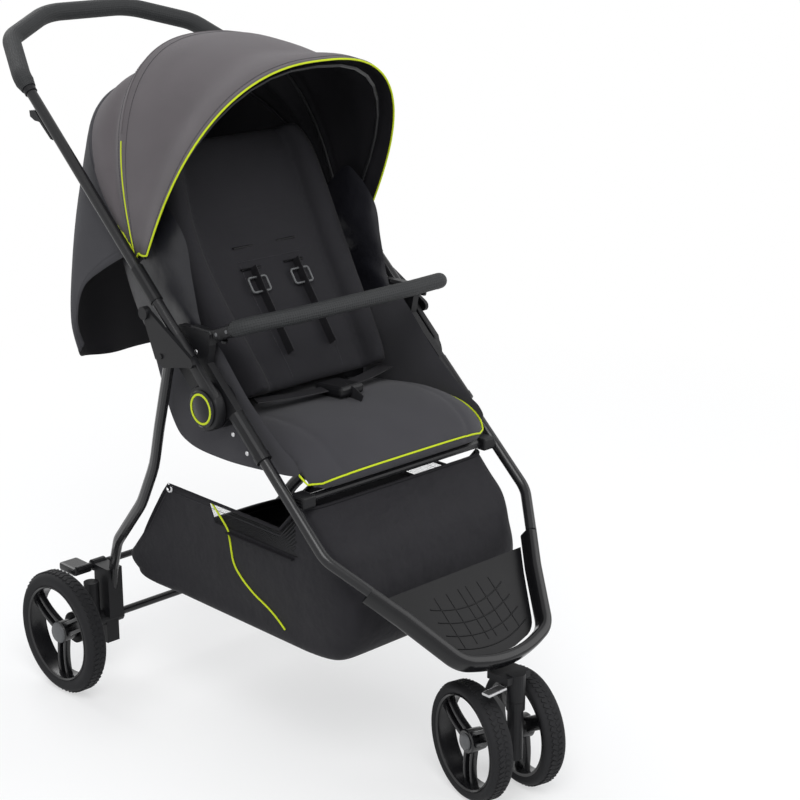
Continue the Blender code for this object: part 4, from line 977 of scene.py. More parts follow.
def make_hubs():
    """Fold hubs at the frame's pivot, each with a sleeve for the tube and a cap with a lime ring."""
    y, z = HUB
    for label, side in SIDES:
        center, axis = Vector((0, y, z)), (side, 0, 0)
        disc = [(0.0, 0.2125), (0.0325, 0.2125), (0.0340, 0.2140), (0.0340, 0.2262), (0.0322, 0.2288),
                (0.0300, 0.2292), (0.0, 0.2292)]
        pieces = [lathe("disc", disc, center, axis, "plastic", steps=72)]
        sleeve = [on_handle(side, HANDLE_BOTTOM), on_handle(side, 0.130)]
        pieces.append(sweep("sleeve", sleeve, lambda t: 0.0094 + 0.0004 * (t > 0.9), "plastic", sides=32))
        lug = [frame_point(HUB_ALONG, -0.0132), frame_point(0.094, -0.0082), frame_point(0.094, 0.0082),
               frame_point(HUB_ALONG, 0.0072), frame_point(HUB_ALONG - 0.012, 0.0)]
        low, high = sorted((0.2185 * side, 0.2290 * side))
        pieces.append(slab("lug", lug, low, high, "plastic", 0.0018))
        put(join(f"hub_disc_skin_{label}", pieces), "handle_frame", f"hub_disc_{label}")
        face = [(0.0, 0.2334), (0.0195, 0.2334), (0.0200, 0.2331), (0.0200, 0.2326), (0.0200, 0.2310),
                (0.0, 0.2310)]
        ring = [(0.0200, 0.2326), (0.0203, 0.2338), (0.0232, 0.2338), (0.0236, 0.2326), (0.0236, 0.2312),
                (0.0200, 0.2312), (0.0200, 0.2326)]
        edge = [(0.0236, 0.2326), (0.0238, 0.2333), (0.0262, 0.2332), (0.0278, 0.2318), (0.0280, 0.2296),
                (0.0, 0.2296)]
        pieces = [lathe(name, profile, center, axis, finish, 72) for name, profile, finish in
                  (("face", face, "gloss_plastic"), ("ring", ring, "lime_thread"),
                   ("edge", edge, "gloss_plastic"))]
        put(join(f"hub_cap_skin_{label}", pieces), "handle_frame", f"hub_cap_{label}")


# Bumper bar

def make_bumper():
    """Foam bar, square at its corners, on two arms with a thicker end."""
    root, tip = (Vector((BUMPER_X, *spot)) for spot in BUMPER_ARM)
    start = tip + (tip - root).normalized() * TUCK
    half = [start, Vector((BUMPER_X, *BUMPER_CORNER)), Vector((BUMPER_X * 0.55, *BUMPER_NOSE))]
    corners = half + [flip(point, -1) for point in reversed(half)]
    path = rounded(corners, [0.020, 0.25, 0.25, 0.020], steps=12)
    grip = sweep("bumper_foam", path, lambda t: BUMPER_R * min(1.0, 0.86 + min(t, 1 - t) * 20),
                 "bumper_foam", sides=36)
    put(grip, "bumper", "bumper_grip")
    for label, side in SIDES:
        start, end = flip(root, side), flip(tip, side)
        path = [start + (end - start) * step / 12 for step in range(13)]
        body = sweep("arm", path, lambda t: 0.0088 + 0.0012 * (t > 0.85) - 0.0006 * (0.3 < t < 0.5),
                     "plastic", height=lambda t: 0.0094 + 0.0012 * (t > 0.85), power=2.8, sides=28,
                     up=(0, 0, 1))
        put(body, "bumper", f"bumper_arm_{label}")


# Canopy

def arch(base, top, half, count=72):
    """One row across the canopy, from the right edge over to the left."""
    row = []
    base, top = Vector(base), Vector(top)
    for step in range(count + 1):
        angle = math.pi * (step / count - 0.5)
        across = math.copysign(abs(math.sin(angle)) ** (2.0 / ARCH_POWER), math.sin(angle))
        rise = 0.0 if step in (0, count) else abs(math.cos(angle)) ** (2.0 / ARCH_POWER)
        point = base + (top - base) * rise
        row.append(Vector((across * half, point.x, point.y)))
    return row


def spaced(values, count):
    """Even steps of a smooth curve through number tuples, flattened and put back."""
    flat = []
    for value in values:
        items = []
        for part in value:
            items += list(part) if hasattr(part, "__len__") else [part]
        flat.append(items)
    result = []
    for step in range(count + 1):
        place = step / count * (len(flat) - 1)
        index = min(int(place), len(flat) - 2)
        near = [flat[min(max(k, 0), len(flat) - 1)] for k in range(index - 1, index + 3)]
        result.append([between(*column, place - index) for column in zip(*near)])
    return result


CANOPY_ROWS = 60
MIDDLE_ROW = CANOPY_ROWS * 4 // 6
# Where the cloth stands over a bow or hangs between two: row, width in rows, height
CANOPY_SWAY = ((MIDDLE_ROW, 1.4, 0.0034), (2, 1.2, 0.0022), (20, 8.0, -0.0150), (30, 5.0, -0.0030),
               (47.5, 3.4, -0.0190))


def canopy_rows():
    """Rows of the cloth from the front edge to the rear, stretched over the bows and slack between."""
    rows = []
    for index, (y0, z0, y1, z1, half) in enumerate(spaced(ARCHES, CANOPY_ROWS)):
        row = arch((y0, z0), (y1, z1), half)
        bow = sum(rise * math.exp(-((index - place) / width) ** 2) for place, width, rise in CANOPY_SWAY)
        tension = math.sin(math.pi * clamp((index - 2) / (MIDDLE_ROW - 2))) ** 2
        middle = Vector((0, (y0 + y1) / 2, (z0 + z1) / 2))
        for step, point in enumerate(row):
            height = math.sin(math.pi * step / (len(row) - 1)) ** 0.7 if 0 < step < len(row) - 1 else 0.0
            out = (point - middle).normalized()
            ripple = noise.noise(point * 9.0) * 0.0022 * tension
            row[step] = point + out * (bow + ripple) * height
        rows.append(row)
    return rows


def make_canopy():
    """Canopy cloth with lime piping on its edges and at the ends of the middle bow."""
    rows = canopy_rows()
    cloth = skin("canopy_shell", rows, ("canopy_cloth", "lining"), degrees=60)
    thicken(cloth, sizes().cloth)
    pipes = [cord("front_piping", rows[0]), cord("rear_hem", rows[-1], "seat_cloth", 0.8),
             cord("bow_hem", rows[MIDDLE_ROW][12:-12], "canopy_cloth", 0.7)]
    for end, inner in ((0, 1), (-1, -2)):
        line = []
        for index, row in enumerate(rows):
            behind = clamp((index - MIDDLE_ROW + 2) / 4.0)
            wave = 0.42 + 0.10 * math.sin(index * 0.9)
            out = Vector((math.copysign(0.0008, row[end].x), 0, 0))
            line.append(row[end].lerp(row[inner], behind * wave) + out)
        pipes.append(cord("edge_piping", catmull(line[:-4], 120)))
    seam = rows[MIDDLE_ROW]
    lime = len(seam) // 6
    for part in (seam[:lime], seam[-lime:]):
        pipes.append(cord("bow_piping", part, share=0.8))
    trim = join("canopy_piping", pipes)
    raised = []
    for index in (5, MIDDLE_ROW - 2, MIDDLE_ROW + 2, CANOPY_ROWS - 1):
        middle = sum(rows[index], Vector()) / len(rows[index])
        raised.append([point + (point - middle).normalized() * 0.0003 for point in rows[index]])
    seams = stitches("canopy_stitches", raised)
    end = Vector((0, -0.055 + SHIFT_Y, 0.98))
    for piece in (cloth, trim, seams):
        take_slot(piece)
        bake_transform(piece)
    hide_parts("canopy_cloth")


def make_curtain():
    """Cloth that hangs from the rear of the canopy, with soft folds lower down."""
    rows = []
    tucked = ((0.2090, 0.120, 0.752), (0.140, 0.786), (0.2960, 0.9780), 0.2075)
    for values in spaced((tucked,) + CURTAIN, 36):
        edge = Vector(values[0:3])
        row = arch(values[3:5], values[5:7], values[7], 56)
        side = [flip(edge, -1).lerp(row[0], t / 4) for t in range(4)]
        other = [row[-1].lerp(edge, t / 4) for t in range(1, 5)]
        rows.append(side + row + other)
    for index, row in enumerate(rows):
        fall = index / (len(rows) - 1)
        for step, point in enumerate(row):
            share = step / (len(row) - 1)
            fold = math.sin(share * math.pi * 9.0) * 0.0045 * fall ** 1.5
            row[step] = point + Vector((0, fold - 0.004 * fall * math.sin(math.pi * share), 0))
    cloth = skin("rear_curtain_cloth", rows, ("seat_cloth", "lining"), degrees=60)
    thicken(cloth, sizes().cloth)
    hem = stitches("curtain_stitches", [rows[-2], [row[1] for row in rows], [row[-2] for row in rows]])
    put(hem, "handle_frame")
    put(cloth, "handle_frame", "rear_curtain")


# Seat

def normals_along(route, flip_side):
    """Directions square to a route in (y, z), up or down by the sign."""
    result = []
    for index in range(len(route)):
        before, after = Vector(route[max(index - 1, 0)]), Vector(route[min(index + 1, len(route) - 1)])
        run = (after - before).normalized()
        result.append(Vector((run.y * flip_side, -run.x * flip_side)))
    return result


def cushion_rows(route, halves, flip_side, thickness, front, steps, count, inset=0.0, corner=0.0):
    """Closed rings along a cushion; front(u, t) is the rise of its face. The last end may be rounded."""
    values = spaced([(point, half) for point, half in zip(route, halves)], steps)
    centers = [(value[0], value[1]) for value in values]
    last = Vector(centers[-1])
    rows = []
    for index, ((y, z, half), normal) in enumerate(zip(values, normals_along(centers, flip_side))):
        t = index / steps
        end = max(0.06, 1.0 - abs(2.0 * t - 1.0) ** 14) ** 0.5 if inset else 1.0
        left = max(0.0, 1.0 - (last - Vector((y, z))).length / corner) if corner else 0.0
        half -= corner * (1.0 - math.sqrt(1.0 - left * left))
        ring = []
        for step in range(count + 1):
            u = -1.0 + 2.0 * step / count
            rise = thickness / 2 * end * (1 - abs(u) ** 8) + front(u, t)
            ring.append(Vector((u * half, y + normal.x * rise, z + normal.y * rise)))
        for step in range(count + 1):
            u = 1.0 - 2.0 * step / count
            drop = thickness / 2 * end * (1.0 - 0.6 * abs(u) ** 8)
            ring.append(Vector((u * half * 0.985, y - normal.x * drop, z - normal.y * drop)))
        rows.append(ring)
    return rows


def near_lines(lines):
    """A search tree over the points of some lines."""
    points = [point for line in lines for point in line]
    tree = KDTree(len(points))
    for index, point in enumerate(points):
        tree.insert(point, index)
    tree.balance()
    return tree


def inflate(obj, seams):
    """Fills a cushion: cloth is blown up by an even pressure while its seams are held."""
    even = obj.modifiers.new("even", "REMESH")
    even.mode = "VOXEL"
    even.voxel_size = FILL_VOXEL
    apply_modifiers(obj)
    tree = near_lines([[point + SHIFT for point in line] for line in seams])
    group = obj.vertex_groups.new(name="seams")
    start = [vertex.co.copy() for vertex in obj.data.vertices]
    for vertex in obj.data.vertices:
        distance = tree.find(vertex.co)[2]
        group.add([vertex.index], clamp(2.0 - distance / SEAM_REACH), "REPLACE")
    cloth = obj.modifiers.new("fill", "CLOTH")
    cloth.settings.vertex_group_mass = "seams"
    cloth.settings.use_pressure = True
    cloth.settings.uniform_pressure_force = FILL_PRESSURE
    cloth.settings.effector_weights.gravity = 0.0
    cloth.point_cache.frame_start = 1
    cloth.point_cache.frame_end = FILL_FRAMES
    for number in range(1, FILL_FRAMES + 1):
        bpy.context.scene.frame_set(number)
    graph = bpy.context.evaluated_depsgraph_get()
    blown = [vertex.co.copy() for vertex in obj.evaluated_get(graph).data.vertices]
    obj.modifiers.clear()
    bpy.context.scene.frame_set(1)
    for vertex, old, new in zip(obj.data.vertices, start, blown):
        step = new - old
        vertex.co = old + step * min(1.0, sizes().swell / max(step.length, 0.00001))
    obj.vertex_groups.clear()
    obj.modifiers.new("finer", "SUBSURF").levels = 1
    apply_modifiers(obj)
    shade(obj, 60)


def make_seat_pad():
    """Seat cushion, rounded at its front edge, with piping along its upper side."""
    def crown(u, t):
        edge = max(0.0, 1.0 - abs(u) ** 3)
        channel = 0.0022 * math.exp(-((abs(u) - PAD_CHANNEL_U) / 0.02) ** 2)
        return 0.010 * edge - 0.006 * abs(u) ** 6 - channel
    rows = cushion_rows(PAD_ROUTE, PAD_HALF_WIDTHS, 1.0, PAD_THICK, crown, 60, 56, inset=1.0, corner=0.017)
    pad = skin("seat_cushion", rows, ("seat_cloth",), wrap=True, caps=True, degrees=60)
    # The piping runs along each side, turns in at the front corners and crosses near the front edge
    half = [rows[i][0] for i in range(16, 55)] + [rows[i][k] for i, k in ((55, 0), (56, 1), (57, 2), (57, 4))]
    line = half + rows[57][6:51] + [flip(point, -1) for point in reversed(half)]
    channels = [[rows[i][k] for i in range(8, 54)] for k in PAD_CHANNEL_COLUMNS]
    inflate(pad, [line] + channels)
    piping = cord("seat_piping", [point + Vector((0, 0, 0.0012)) for point in line])
    put(piping, "chassis")
    put(pad, "chassis", "seat_pad")


def back_face(u, t):
    """Rise of the backrest's face: a bolster down each side and a raised middle panel."""
    out = abs(u)
    bolster = 0.022 * max(0.0, 1.0 - (abs(out - BOLSTER_U) / 0.17) ** 2)
    panel = 0.004 * max(0.0, 1.0 - (u / 0.62) ** 4)
    seam = 0.0032 * math.exp(-((out - SEAM_U) / 0.014) ** 2)
    channel = 0.0026 * math.exp(-((out - CHANNEL_U) / 0.012) ** 2) * clamp((CROSS_T - t) * 12.0)
    return bolster + panel - seam - channel


def on_back(x, t, lift=0.0):
    """A point on the backrest's face at a share of its height, with its outward direction."""
    values = spaced([(point, half) for point, half in zip(BACK_ROUTE, BACK_HALF_WIDTHS)], 100)
    index = int(round(t * 100))
    normal = normals_along([value[:2] for value in values], -1.0)[index]
    y, z, half = values[index]
    rise = back_face(x / half, t) + lift
    return Vector((x, y + normal.x * rise, z + normal.y * rise)), Vector((0, normal.x, normal.y))


def make_backrest():
    """Backrest with bolsters down its sides, sewn channels and a cross seam."""
    middle_route = [(y - normal.x * (BACK_THICK / 2), z - normal.y * (BACK_THICK / 2))
                    for (y, z), normal in zip(BACK_ROUTE, normals_along(BACK_ROUTE, -1.0))]
    rows = cushion_rows(middle_route, BACK_HALF_WIDTHS, -1.0, BACK_THICK, back_face, 60, 80, inset=1.0)
    back = skin("backrest_cushion", rows, ("back_cloth",), wrap=True, caps=True, degrees=60)
    lines = [[rows[i][k] for i in range(3, 58)] for k in SEAM_COLUMNS]
    lines += [[rows[i][k] for i in range(3, CROSS_ROW)] for k in CHANNEL_COLUMNS]
    lines += [[row[0] for row in rows], [row[80] for row in rows], rows[CROSS_ROW][26:55]]
    inflate(back, lines)
    put(back, "seat_back", "backrest")
    raised = [[point + Vector((0, -0.0006, 0.0004)) for point in line] for line in lines[:4] + [lines[6]]]
    put(stitches("backrest_stitches", raised), "seat_back")
    make_harness()


def webbing(name, points, count, sides, up, body, replaced=None, thick=STRAP_THICK):
    """A flat strap along a smooth line."""
    strap = sweep(name, catmull(points, count), STRAP_HALF, "webbing", height=thick, power=5.0, sides=sides,
                  up=up)
    put(strap, body, replaced)


def make_harness():
    """Shoulder straps with sliders and slots for two heights, waist belts and the crotch belt."""
    for label, side in SIDES:
        x = STRAP_X * side
        points = [on_back(x, t, 0.0042)[0] for t in (0.13, 0.20, 0.27, 0.34, 0.40, 0.435)]
        webbing("strap", points, 24, 20, (1, 0, 0), "seat_back", f"shoulder_strap_{label}", 0.0009)
        pieces = []
        for t in (0.445, 0.525):
            place = on_back(x, t, 0.0014)[0]
            ends = [place + Vector((reach, 0, 0)) for reach in (-0.019, 0.019)]
            pieces.append(sweep("slot", ends, 0.0022, "gloss_plastic", height=0.0014, power=4.0, sides=12))
        place, out = on_back(x, 0.375, 0.0068)
        rise = Vector((1, 0, 0)).cross(out)
        corners = [place + Vector((0.0175 * a, 0, 0)) + rise * (0.0120 * b)
                   for a, b in ((0, -1), (1, -1), (1, 1), (-1, 1), (-1, -1), (0, -1))]
        pieces.append(sweep("slider", rounded(corners, [0.004] * 4, 5), 0.0017, "cap", sides=12))
        put(join(f"strap_slider_{label}", pieces), "seat_back")
        belt = [Vector((x * side, y, z)) for x, y, z in WAIST_BELT]
        webbing(f"waist_belt_{label}", belt, 20, 16, (0, 0, 1), "chassis")
    webbing("crotch_belt", [Vector((0, y, z)) for y, z in CROTCH_BELT], 14, 16, (1, 0, 0), "chassis")


def pillow(name, outline, x, inward, outward, finish, crease):
    """A stuffed side cloth: its outline is the seam, and its middle swells to both sides."""
    closed = list(outline) + [outline[0], outline[1]]
    edge = catmull([Vector((y, z, 0)) for y, z in closed], 12 * (len(closed) - 1))[:-12]
    middle = sum(edge, Vector()) / len(edge)
    rows = []
    for ring in range(-PILLOW_RINGS, PILLOW_RINGS + 1):
        share = 1.0 - abs(ring) / PILLOW_RINGS
        swell = (1.0 - share ** 2.6) ** 0.75
        depth = (inward if ring < 0 else -outward) * swell
        row = []
        for point in edge:
            spot = middle + (point - middle) * max(share, 0.004)
            wave = noise.noise(Vector((spot.x * 9.0, spot.y * 30.0, x * 40.0))) * crease * swell
            row.append(Vector((x - math.copysign(1.0, x) * (depth + wave), spot.x, spot.y)))
        rows.append(row)
    return skin(name, rows, (finish,), wrap=True, caps=True, degrees=60)


def make_gusset():
    """Cloth that closes the seat behind the backrest, from the pad up to the backrest's middle."""
    rows = []
    for y, z, half in spaced(GUSSET, 24):
        row = []
        for step in range(49):
            u = -1.0 + step / 24.0
            sag = 0.010 * (1.0 - u * u) + noise.noise(Vector((u * 3.0, z * 20.0, 0.0))) * 0.003
            row.append(Vector((half * u, y + sag, z)))
        rows.append(row)
    cloth = skin("seat_gusset", rows, ("lining", "lining"), degrees=60)
    thicken(cloth, BAG_THICK)
    take_slot(cloth)
    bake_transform(cloth)


def make_side_panels():
    """Side cloths: a thin wing beside the seat and a stuffed bolster above it."""
    for label, side in SIDES:
        wing = pillow(f"side_wing_{label}", WING_OUTLINE, PANEL_X * side, 0.0016, 0.0024, "seat_cloth",
                      0.0004)
        bolster = pillow(f"side_bolster_{label}", BOLSTER_OUTLINE, (PANEL_X + 0.001) * side, 0.0090, 0.0090,
                         "satin", 0.0060)
        put(bolster, "chassis")
        put(wing, "chassis", f"side_panel_{label}")


# Footplate and small fittings

def rib_tree(finish):
    """Nodes that lay copies of one line as raised ribs, each a step beyond the last."""
    tree, nodes = node_tree("ribs", finish, {"Count": "Int", "Step": "Vector", "Radius": "Float"}, {
        "curve": "GeometryNodeMeshToCurve", "circle": "GeometryNodeCurvePrimitiveCircle",
        "body": "GeometryNodeCurveToMesh", "line": "GeometryNodeMeshLine",
        "spread": "GeometryNodeInstanceOnPoints"}, """
        in.Geometry > curve.Mesh
        in.Radius > circle.Radius
        curve.Curve > body.Curve
        circle.Curve > body.Profile Curve
        in.Count > line.Count
        in.Step > line.Offset
        line.Mesh > spread.Points
        body.Mesh > spread.Instance
        spread.Instances > real.Geometry
        real.Geometry > coat.Geometry""")
    nodes["circle"].inputs["Resolution"].default_value = 8
    nodes["body"].inputs["Fill Caps"].default_value = True
    return tree


def ribs(name, line, count, step, radius, finish):
    """A row of ribs that follow the line."""
    values = {"Count": count, "Step": step, "Radius": radius}
    return shade(run_tree(line_mesh(name, [line], finish), rib_tree(finish), values, finish), 60)


def make_footplate():
    """Ridges moulded across the footplate, and three ribs along it on each side of its middle."""
    lift = FOOTPLATE_LIFT + 0.0021
    line = [in_frame(0.074 * u, -0.452 - 0.016 * (1.0 - u * u), lift)
            for u in [-1 + step / 12 for step in range(25)]]
    step = in_frame(0, 0.022) - in_frame(0, 0)
    put(ribs("footplate_ridges", line, 4, step, 0.0010, "tray"), "chassis")
    for label, side in SIDES:
        line = [in_frame(0.008 * side, along, lift) for along in (-0.458, -0.372)]
        step = Vector((0.024 * side, 0, 0))
        put(ribs(f"footplate_keel_{label}", line, 3, step, 0.0008, "tray"), "chassis")


def rivet_tree(finish):
    """Nodes that set a rivet's head on each point, standing along X."""
    tree, nodes = node_tree("rivets", finish, {"Radius": "Float", "Height": "Float"}, {
        "head": "GeometryNodeMeshUVSphere", "size": "ShaderNodeCombineXYZ",
        "spread": "GeometryNodeInstanceOnPoints"}, """
        in.Height > size.X
        in.Radius > size.Y
        in.Radius > size.Z
        in.Geometry > spread.Points
        head.Mesh > spread.Instance
        size.Vector > spread.Scale
        spread.Instances > real.Geometry
        real.Geometry > coat.Geometry""")
    for key, value in (("Segments", 20), ("Rings", 10), ("Radius", 1.0)):
        nodes["head"].inputs[key].default_value = value
    return tree


def rivets(name, spots, radius, height, finish):
    """Rivet heads on the spots."""
    mesh = bpy.data.meshes.new(name)
    mesh.from_pydata([tuple(spot) for spot in spots], [], [])
    obj = link_mesh(name, mesh, finish)
    mesh.materials.clear()
    return shade(run_tree(obj, rivet_tree(finish), {"Radius": radius, "Height": height}, finish), 60)


def make_fittings():
    """Rivets on the side plates, front tubes, bumper arms and hub sleeves, release buttons and grooves of the
    seat blocks.
    """
    plate, hub, arms = [], [], []
    for label, side in SIDES:
        plate += [Vector((0.2112 * side, y, z)) for y, z in PLATE_RIVETS]
        arms += [Vector(((BUMPER_X + 0.0090) * side, y, z)) for y, z in ARM_RIVETS]
        plate += [Vector(((FRONT_TUBE_X + TUBE_R) * side, y, z)) for y, z in TUBE_RIVETS]
        hub.append(on_handle(side, 0.112, 0.0) + Vector((0.0100 * side, 0, 0)))
        line = [Vector((0.1980 * side, y, 0.4435)) for y in (-0.246, -0.220)]
        put(ribs(f"block_grooves_{label}", line, 4, Vector((0, 0, 0.0042)), 0.0006, "plastic"), "chassis")
        button = [Vector((BUMPER_X * side, y, z)) for y, z in ((-0.0860, 0.6580), (-0.0850, 0.6545))]
        put(sweep(f"release_button_{label}", button, 0.0052, "gloss_plastic", sides=24), "bumper")
    put(rivets("plate_rivets", plate, 0.0036, 0.0016, "steel"), "chassis")
    put(rivets("arm_rivets", arms, 0.0030, 0.0014, "cap"), "bumper")
    put(rivets("sleeve_rivets", hub, 0.0030, 0.0012, "steel"), "handle_frame")


# Basket

def rim_height(v):
    """Height of the basket's rim, from the front (-1) to the rear (1)."""
    front = clamp((-v - RIM_HEM_V[0]) / (RIM_HEM_V[1] - RIM_HEM_V[0]))
    rear = clamp((v - RIM_REAR_V[0]) / (RIM_REAR_V[1] - RIM_REAR_V[0]))
    return RIM_SIDE_Z + (RIM_HEM_Z - RIM_SIDE_Z) * front - (RIM_SIDE_Z - RIM_REAR_Z) * rear


def basket_rows(count=192):
    """Rings from the rim down; the rim drops to the rear, and the cloth sags inwards between its edges."""
    low = BASKET[-1][2]
    rim_rear, rim_front = BASKET[0][2:]
    rows = []
    for middle, length, half, rear, front in spaced(BASKET, 56):
        ring = []
        for step in range(count):
            angle = 2 * math.pi * step / count
            corner = REAR_CORNER if math.sin(angle) > 0.0 else FRONT_CORNER
            u = math.copysign(abs(math.cos(angle)) ** corner, math.cos(angle))
            v = math.copysign(abs(math.sin(angle)) ** corner, math.sin(angle))
            rim = rim_front + (rim_rear - rim_front) * (v + 1.0) / 2.0
            height = front + (rear - front) * (v + 1.0) / 2.0
            lifted = low + (height - low) * (rim_height(v) - low) / (rim - low)
            point = Vector((half * u, middle + length * v, lifted))
            slack = clamp((lifted - low) * 12.0) * clamp((rim_height(v) - lifted) * 30.0)
            fold = 0.5 + 0.5 * noise.noise(Vector((point.x * 9.0, point.y * 14.0, point.z * 22.0)))
            away = Vector((point.x, point.y - middle, 0)).normalized()
            ring.append(point - away * (0.0075 * fold * slack))
        rows.append(ring)
    return rows


def piping_y(z):
    """How far forward the side piping of the basket runs at a height."""
    for (y0, z0), (y1, z1) in zip(BASKET_PIPING, BASKET_PIPING[1:]):
        if z1 <= z <= z0:
            return y0 + (y1 - y0) * (z0 - z) / (z0 - z1)
    return BASKET_PIPING[0][0] if z > BASKET_PIPING[0][1] else BASKET_PIPING[-1][0]


def make_basket():
    """Basket with a net window in each side, piping, a band, an eyelet and a pale line behind."""
    rows = basket_rows()
    shell = skin("basket_cloth", rows, ("bag_cloth", "lining", "net", "net"), wrap=True, degrees=60)
    work = bmesh.new()
    work.from_mesh(shell.data)
    wall = BVHTree.FromBMesh(work)
    for face in work.faces:
        spot = face.calc_center_median()
        y = spot.y - SHIFT_Y
        if abs(spot.x) > NET_X and spot.z > NET_Z and NET_FRONT < y < piping_y(spot.z):
            face.material_index = 2
    edges = [edge for edge in work.edges if edge.is_boundary and edge.verts[0].co.z < 0.2]
    bmesh.ops.holes_fill(work, edges=edges)
    bmesh.ops.recalc_face_normals(work, faces=work.faces)
    work.to_mesh(shell.data)
    work.free()
    thicken(shell, BAG_THICK)

    def on_wall(start, run):
        hit = wall.ray_cast(Vector(start) + SHIFT, Vector(run))[0]
        return None if hit is None else hit - SHIFT

    def along_side(side, spots, lift):
        found = [on_wall((0.4 * side, y, z), (-side, 0, 0)) for y, z in spots]
        return [point + Vector((lift * side, 0, 0)) for point in found if point]
    rim = sweep("basket_rim", rows[0] + [rows[0][0]], 0.0026, "lining", sides=12, caps=False)
    trim, bands = [], []
    for side in (-1, 1):
        line = catmull([Vector((y, z, 0)) for y, z in BASKET_PIPING], 60)
        path = along_side(side, [(point.x, point.y) for point in line], 0.0008)
        trim.append(cord("basket_piping", catmull(path, 80)))
        spots = [(piping_y(BAND_Z) - 0.150 * step / 40, BAND_Z) for step in range(41)]
        band = along_side(side, spots, 0.0008)
        bands.append(sweep("net_band", band, 0.0012, "lining", height=0.0055, power=5.0, sides=12,
                           up=(side, 0, 0)))
        ring = along_side(side, [EYELET], 0.0012)[0]
        profile = [(0.0042, 0.0), (0.0050, 0.0014), (0.0068, 0.0014), (0.0076, 0.0), (0.0042, 0.0)]
        bands.append(lathe("eyelet", profile, ring, (side, 0, 0), "steel", 32))
    line = [on_wall((-0.12 + 0.24 * step / 30, 0.5, LINE_Z), (0, -1, 0)) for step in range(31)]
    pale = sweep("rear_line", [point + Vector((0, 0.0012, 0)) for point in line if point], 0.0013,
                 "pale_tape", sides=8)
    trim = join("basket_trim", trim + bands + [pale])
    sewn = [point - Vector((0, 0, 0.0100)) + Vector((point.x, point.y, 0)).normalized() * 0.0004
            for point in rows[0] + [rows[0][0]]]
    seams = stitches("basket_stitches", [sewn])
    for piece in (rim, trim, seams):
        put(piece, "chassis")
    put(shell, "chassis", "basket")


# CAD nodes that are shown as they are

NODE_FINISHES = {
    "coating": ("rear_leg_right", "rear_leg_left", "rear_axle", "brake_bar", "seat_front_bar",
                "canopy_bow_front", "canopy_bow_middle"),
    "tray": ("footplate",),
    "plastic": ("caster_housing", "side_plate_right", "side_plate_left", "leg_head_right",
                "leg_head_left", "leg_foot_right", "leg_foot_left", "caster_fork", "seat_block_right",
                "seat_block_left", "harness_buckle", "fold_hook", "canopy_clamp_right", "canopy_clamp_left"),
    "steel": ("front_axle", "swivel_lock_lever"),
}


def finish_nodes():
    for finish, names in NODE_FINISHES.items():
        for name in names:
            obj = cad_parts[name]
            obj.data.materials.clear()
            obj.data.materials.append(FINISHES[finish])


# Stage

def make_stage():
    """White floor and room, three lamps and the camera."""
    scene = bpy.context.scene
    scene.view_settings.view_transform = "Standard"
    camera = bpy.data.objects.new("camera", bpy.data.cameras.new("camera"))
    scene.collection.objects.link(camera)
    camera.data.lens = CAMERA_LENS
    camera.data.sensor_width = 36.0
    camera.data.clip_end = 60.0
    camera.location = CAMERA_AT
    turn, tilt = (math.radians(value) for value in CAMERA_TURN)
    camera.rotation_euler = (math.pi / 2 - tilt, 0.0, turn)
    scene.camera = camera
    world = bpy.data.worlds.new("studio")
    world.use_nodes = True
    scene.world = world
    nodes, links = world.node_tree.nodes, world.node_tree.links
    nodes.clear()
    path, out, room, white, choose, both, all_three = (nodes.new(f"ShaderNode{kind}") for kind in (
        "LightPath", "OutputWorld", "Background", "Background", "MixShader", "Math", "Math"))
    room.inputs["Color"].default_value = (0.93, 0.96, 1.0, 1.0)
    room.inputs["Strength"].default_value = 0.55
    white.inputs["Color"].default_value = (1.0, 1.0, 1.0, 1.0)
    both.operation = all_three.operation = "MAXIMUM"
    for start, end in ((path.outputs["Is Camera Ray"], both.inputs[0]),
                       (path.outputs["Is Glossy Ray"], both.inputs[1]),
                       (both.outputs[0], all_three.inputs[0]),
                       (path.outputs["Is Transmission Ray"], all_three.inputs[1]),
                       (all_three.outputs[0], choose.inputs[0]), (room.outputs[0], choose.inputs[1]),
                       (white.outputs[0], choose.inputs[2]), (choose.outputs[0], out.inputs[0])):
        links.new(start, end)
    floor_mesh = bpy.data.meshes.new("floor")
    corners = [(x * FLOOR_REACH, y * FLOOR_REACH, 0) for x, y in ((-1, -1), (1, -1), (1, 1), (-1, 1))]
    floor_mesh.from_pydata(corners, [], [(0, 1, 2, 3)])
    floor = bpy.data.objects.new("floor", floor_mesh)
    scene.collection.objects.link(floor)
    tree = Tree("floor")
    glow = tree.nodes.new("ShaderNodeEmission")
    mix = tree.nodes.new("ShaderNodeMixShader")
    tree.finish((0.92, 0.92, 0.92), 0.9, Specular_IOR_Level=0.1)
    distance = tree.add("ShaderNodeVectorMath", [tree.at], output=1, operation="LENGTH")
    fade = ((distance - 0.6) * 0.6).clamp()
    light_path = tree.nodes.new("ShaderNodeLightPath")
    camera_ray = Wire(tree, light_path.outputs["Is Camera Ray"])
    seen = camera_ray.most(Wire(tree, light_path.outputs["Is Glossy Ray"]))
    amount = seen * (fade * 0.45 + 0.55)
    links = tree.material.node_tree.links
    links.new(amount.socket, mix.inputs[0])
    links.new(tree.shader.outputs[0], mix.inputs[1])
    links.new(glow.outputs[0], mix.inputs[2])
    links.new(mix.outputs[0], tree.nodes["Material Output"].inputs[0])
    floor_mesh.materials.append(tree.material)
    for name, place, size, power in LAMPS:
        lamp = bpy.data.lights.new(name, "AREA")
        lamp.shape = "SQUARE"
        lamp.size = size
        lamp.energy = power
        obj = bpy.data.objects.new(name, lamp)
        obj.location = place
        obj.rotation_euler = (Vector((0, 0, 0.5)) - Vector(place)).to_track_quat("-Z", "Y").to_euler()
        scene.collection.objects.link(obj)


# Operators, panel and registration

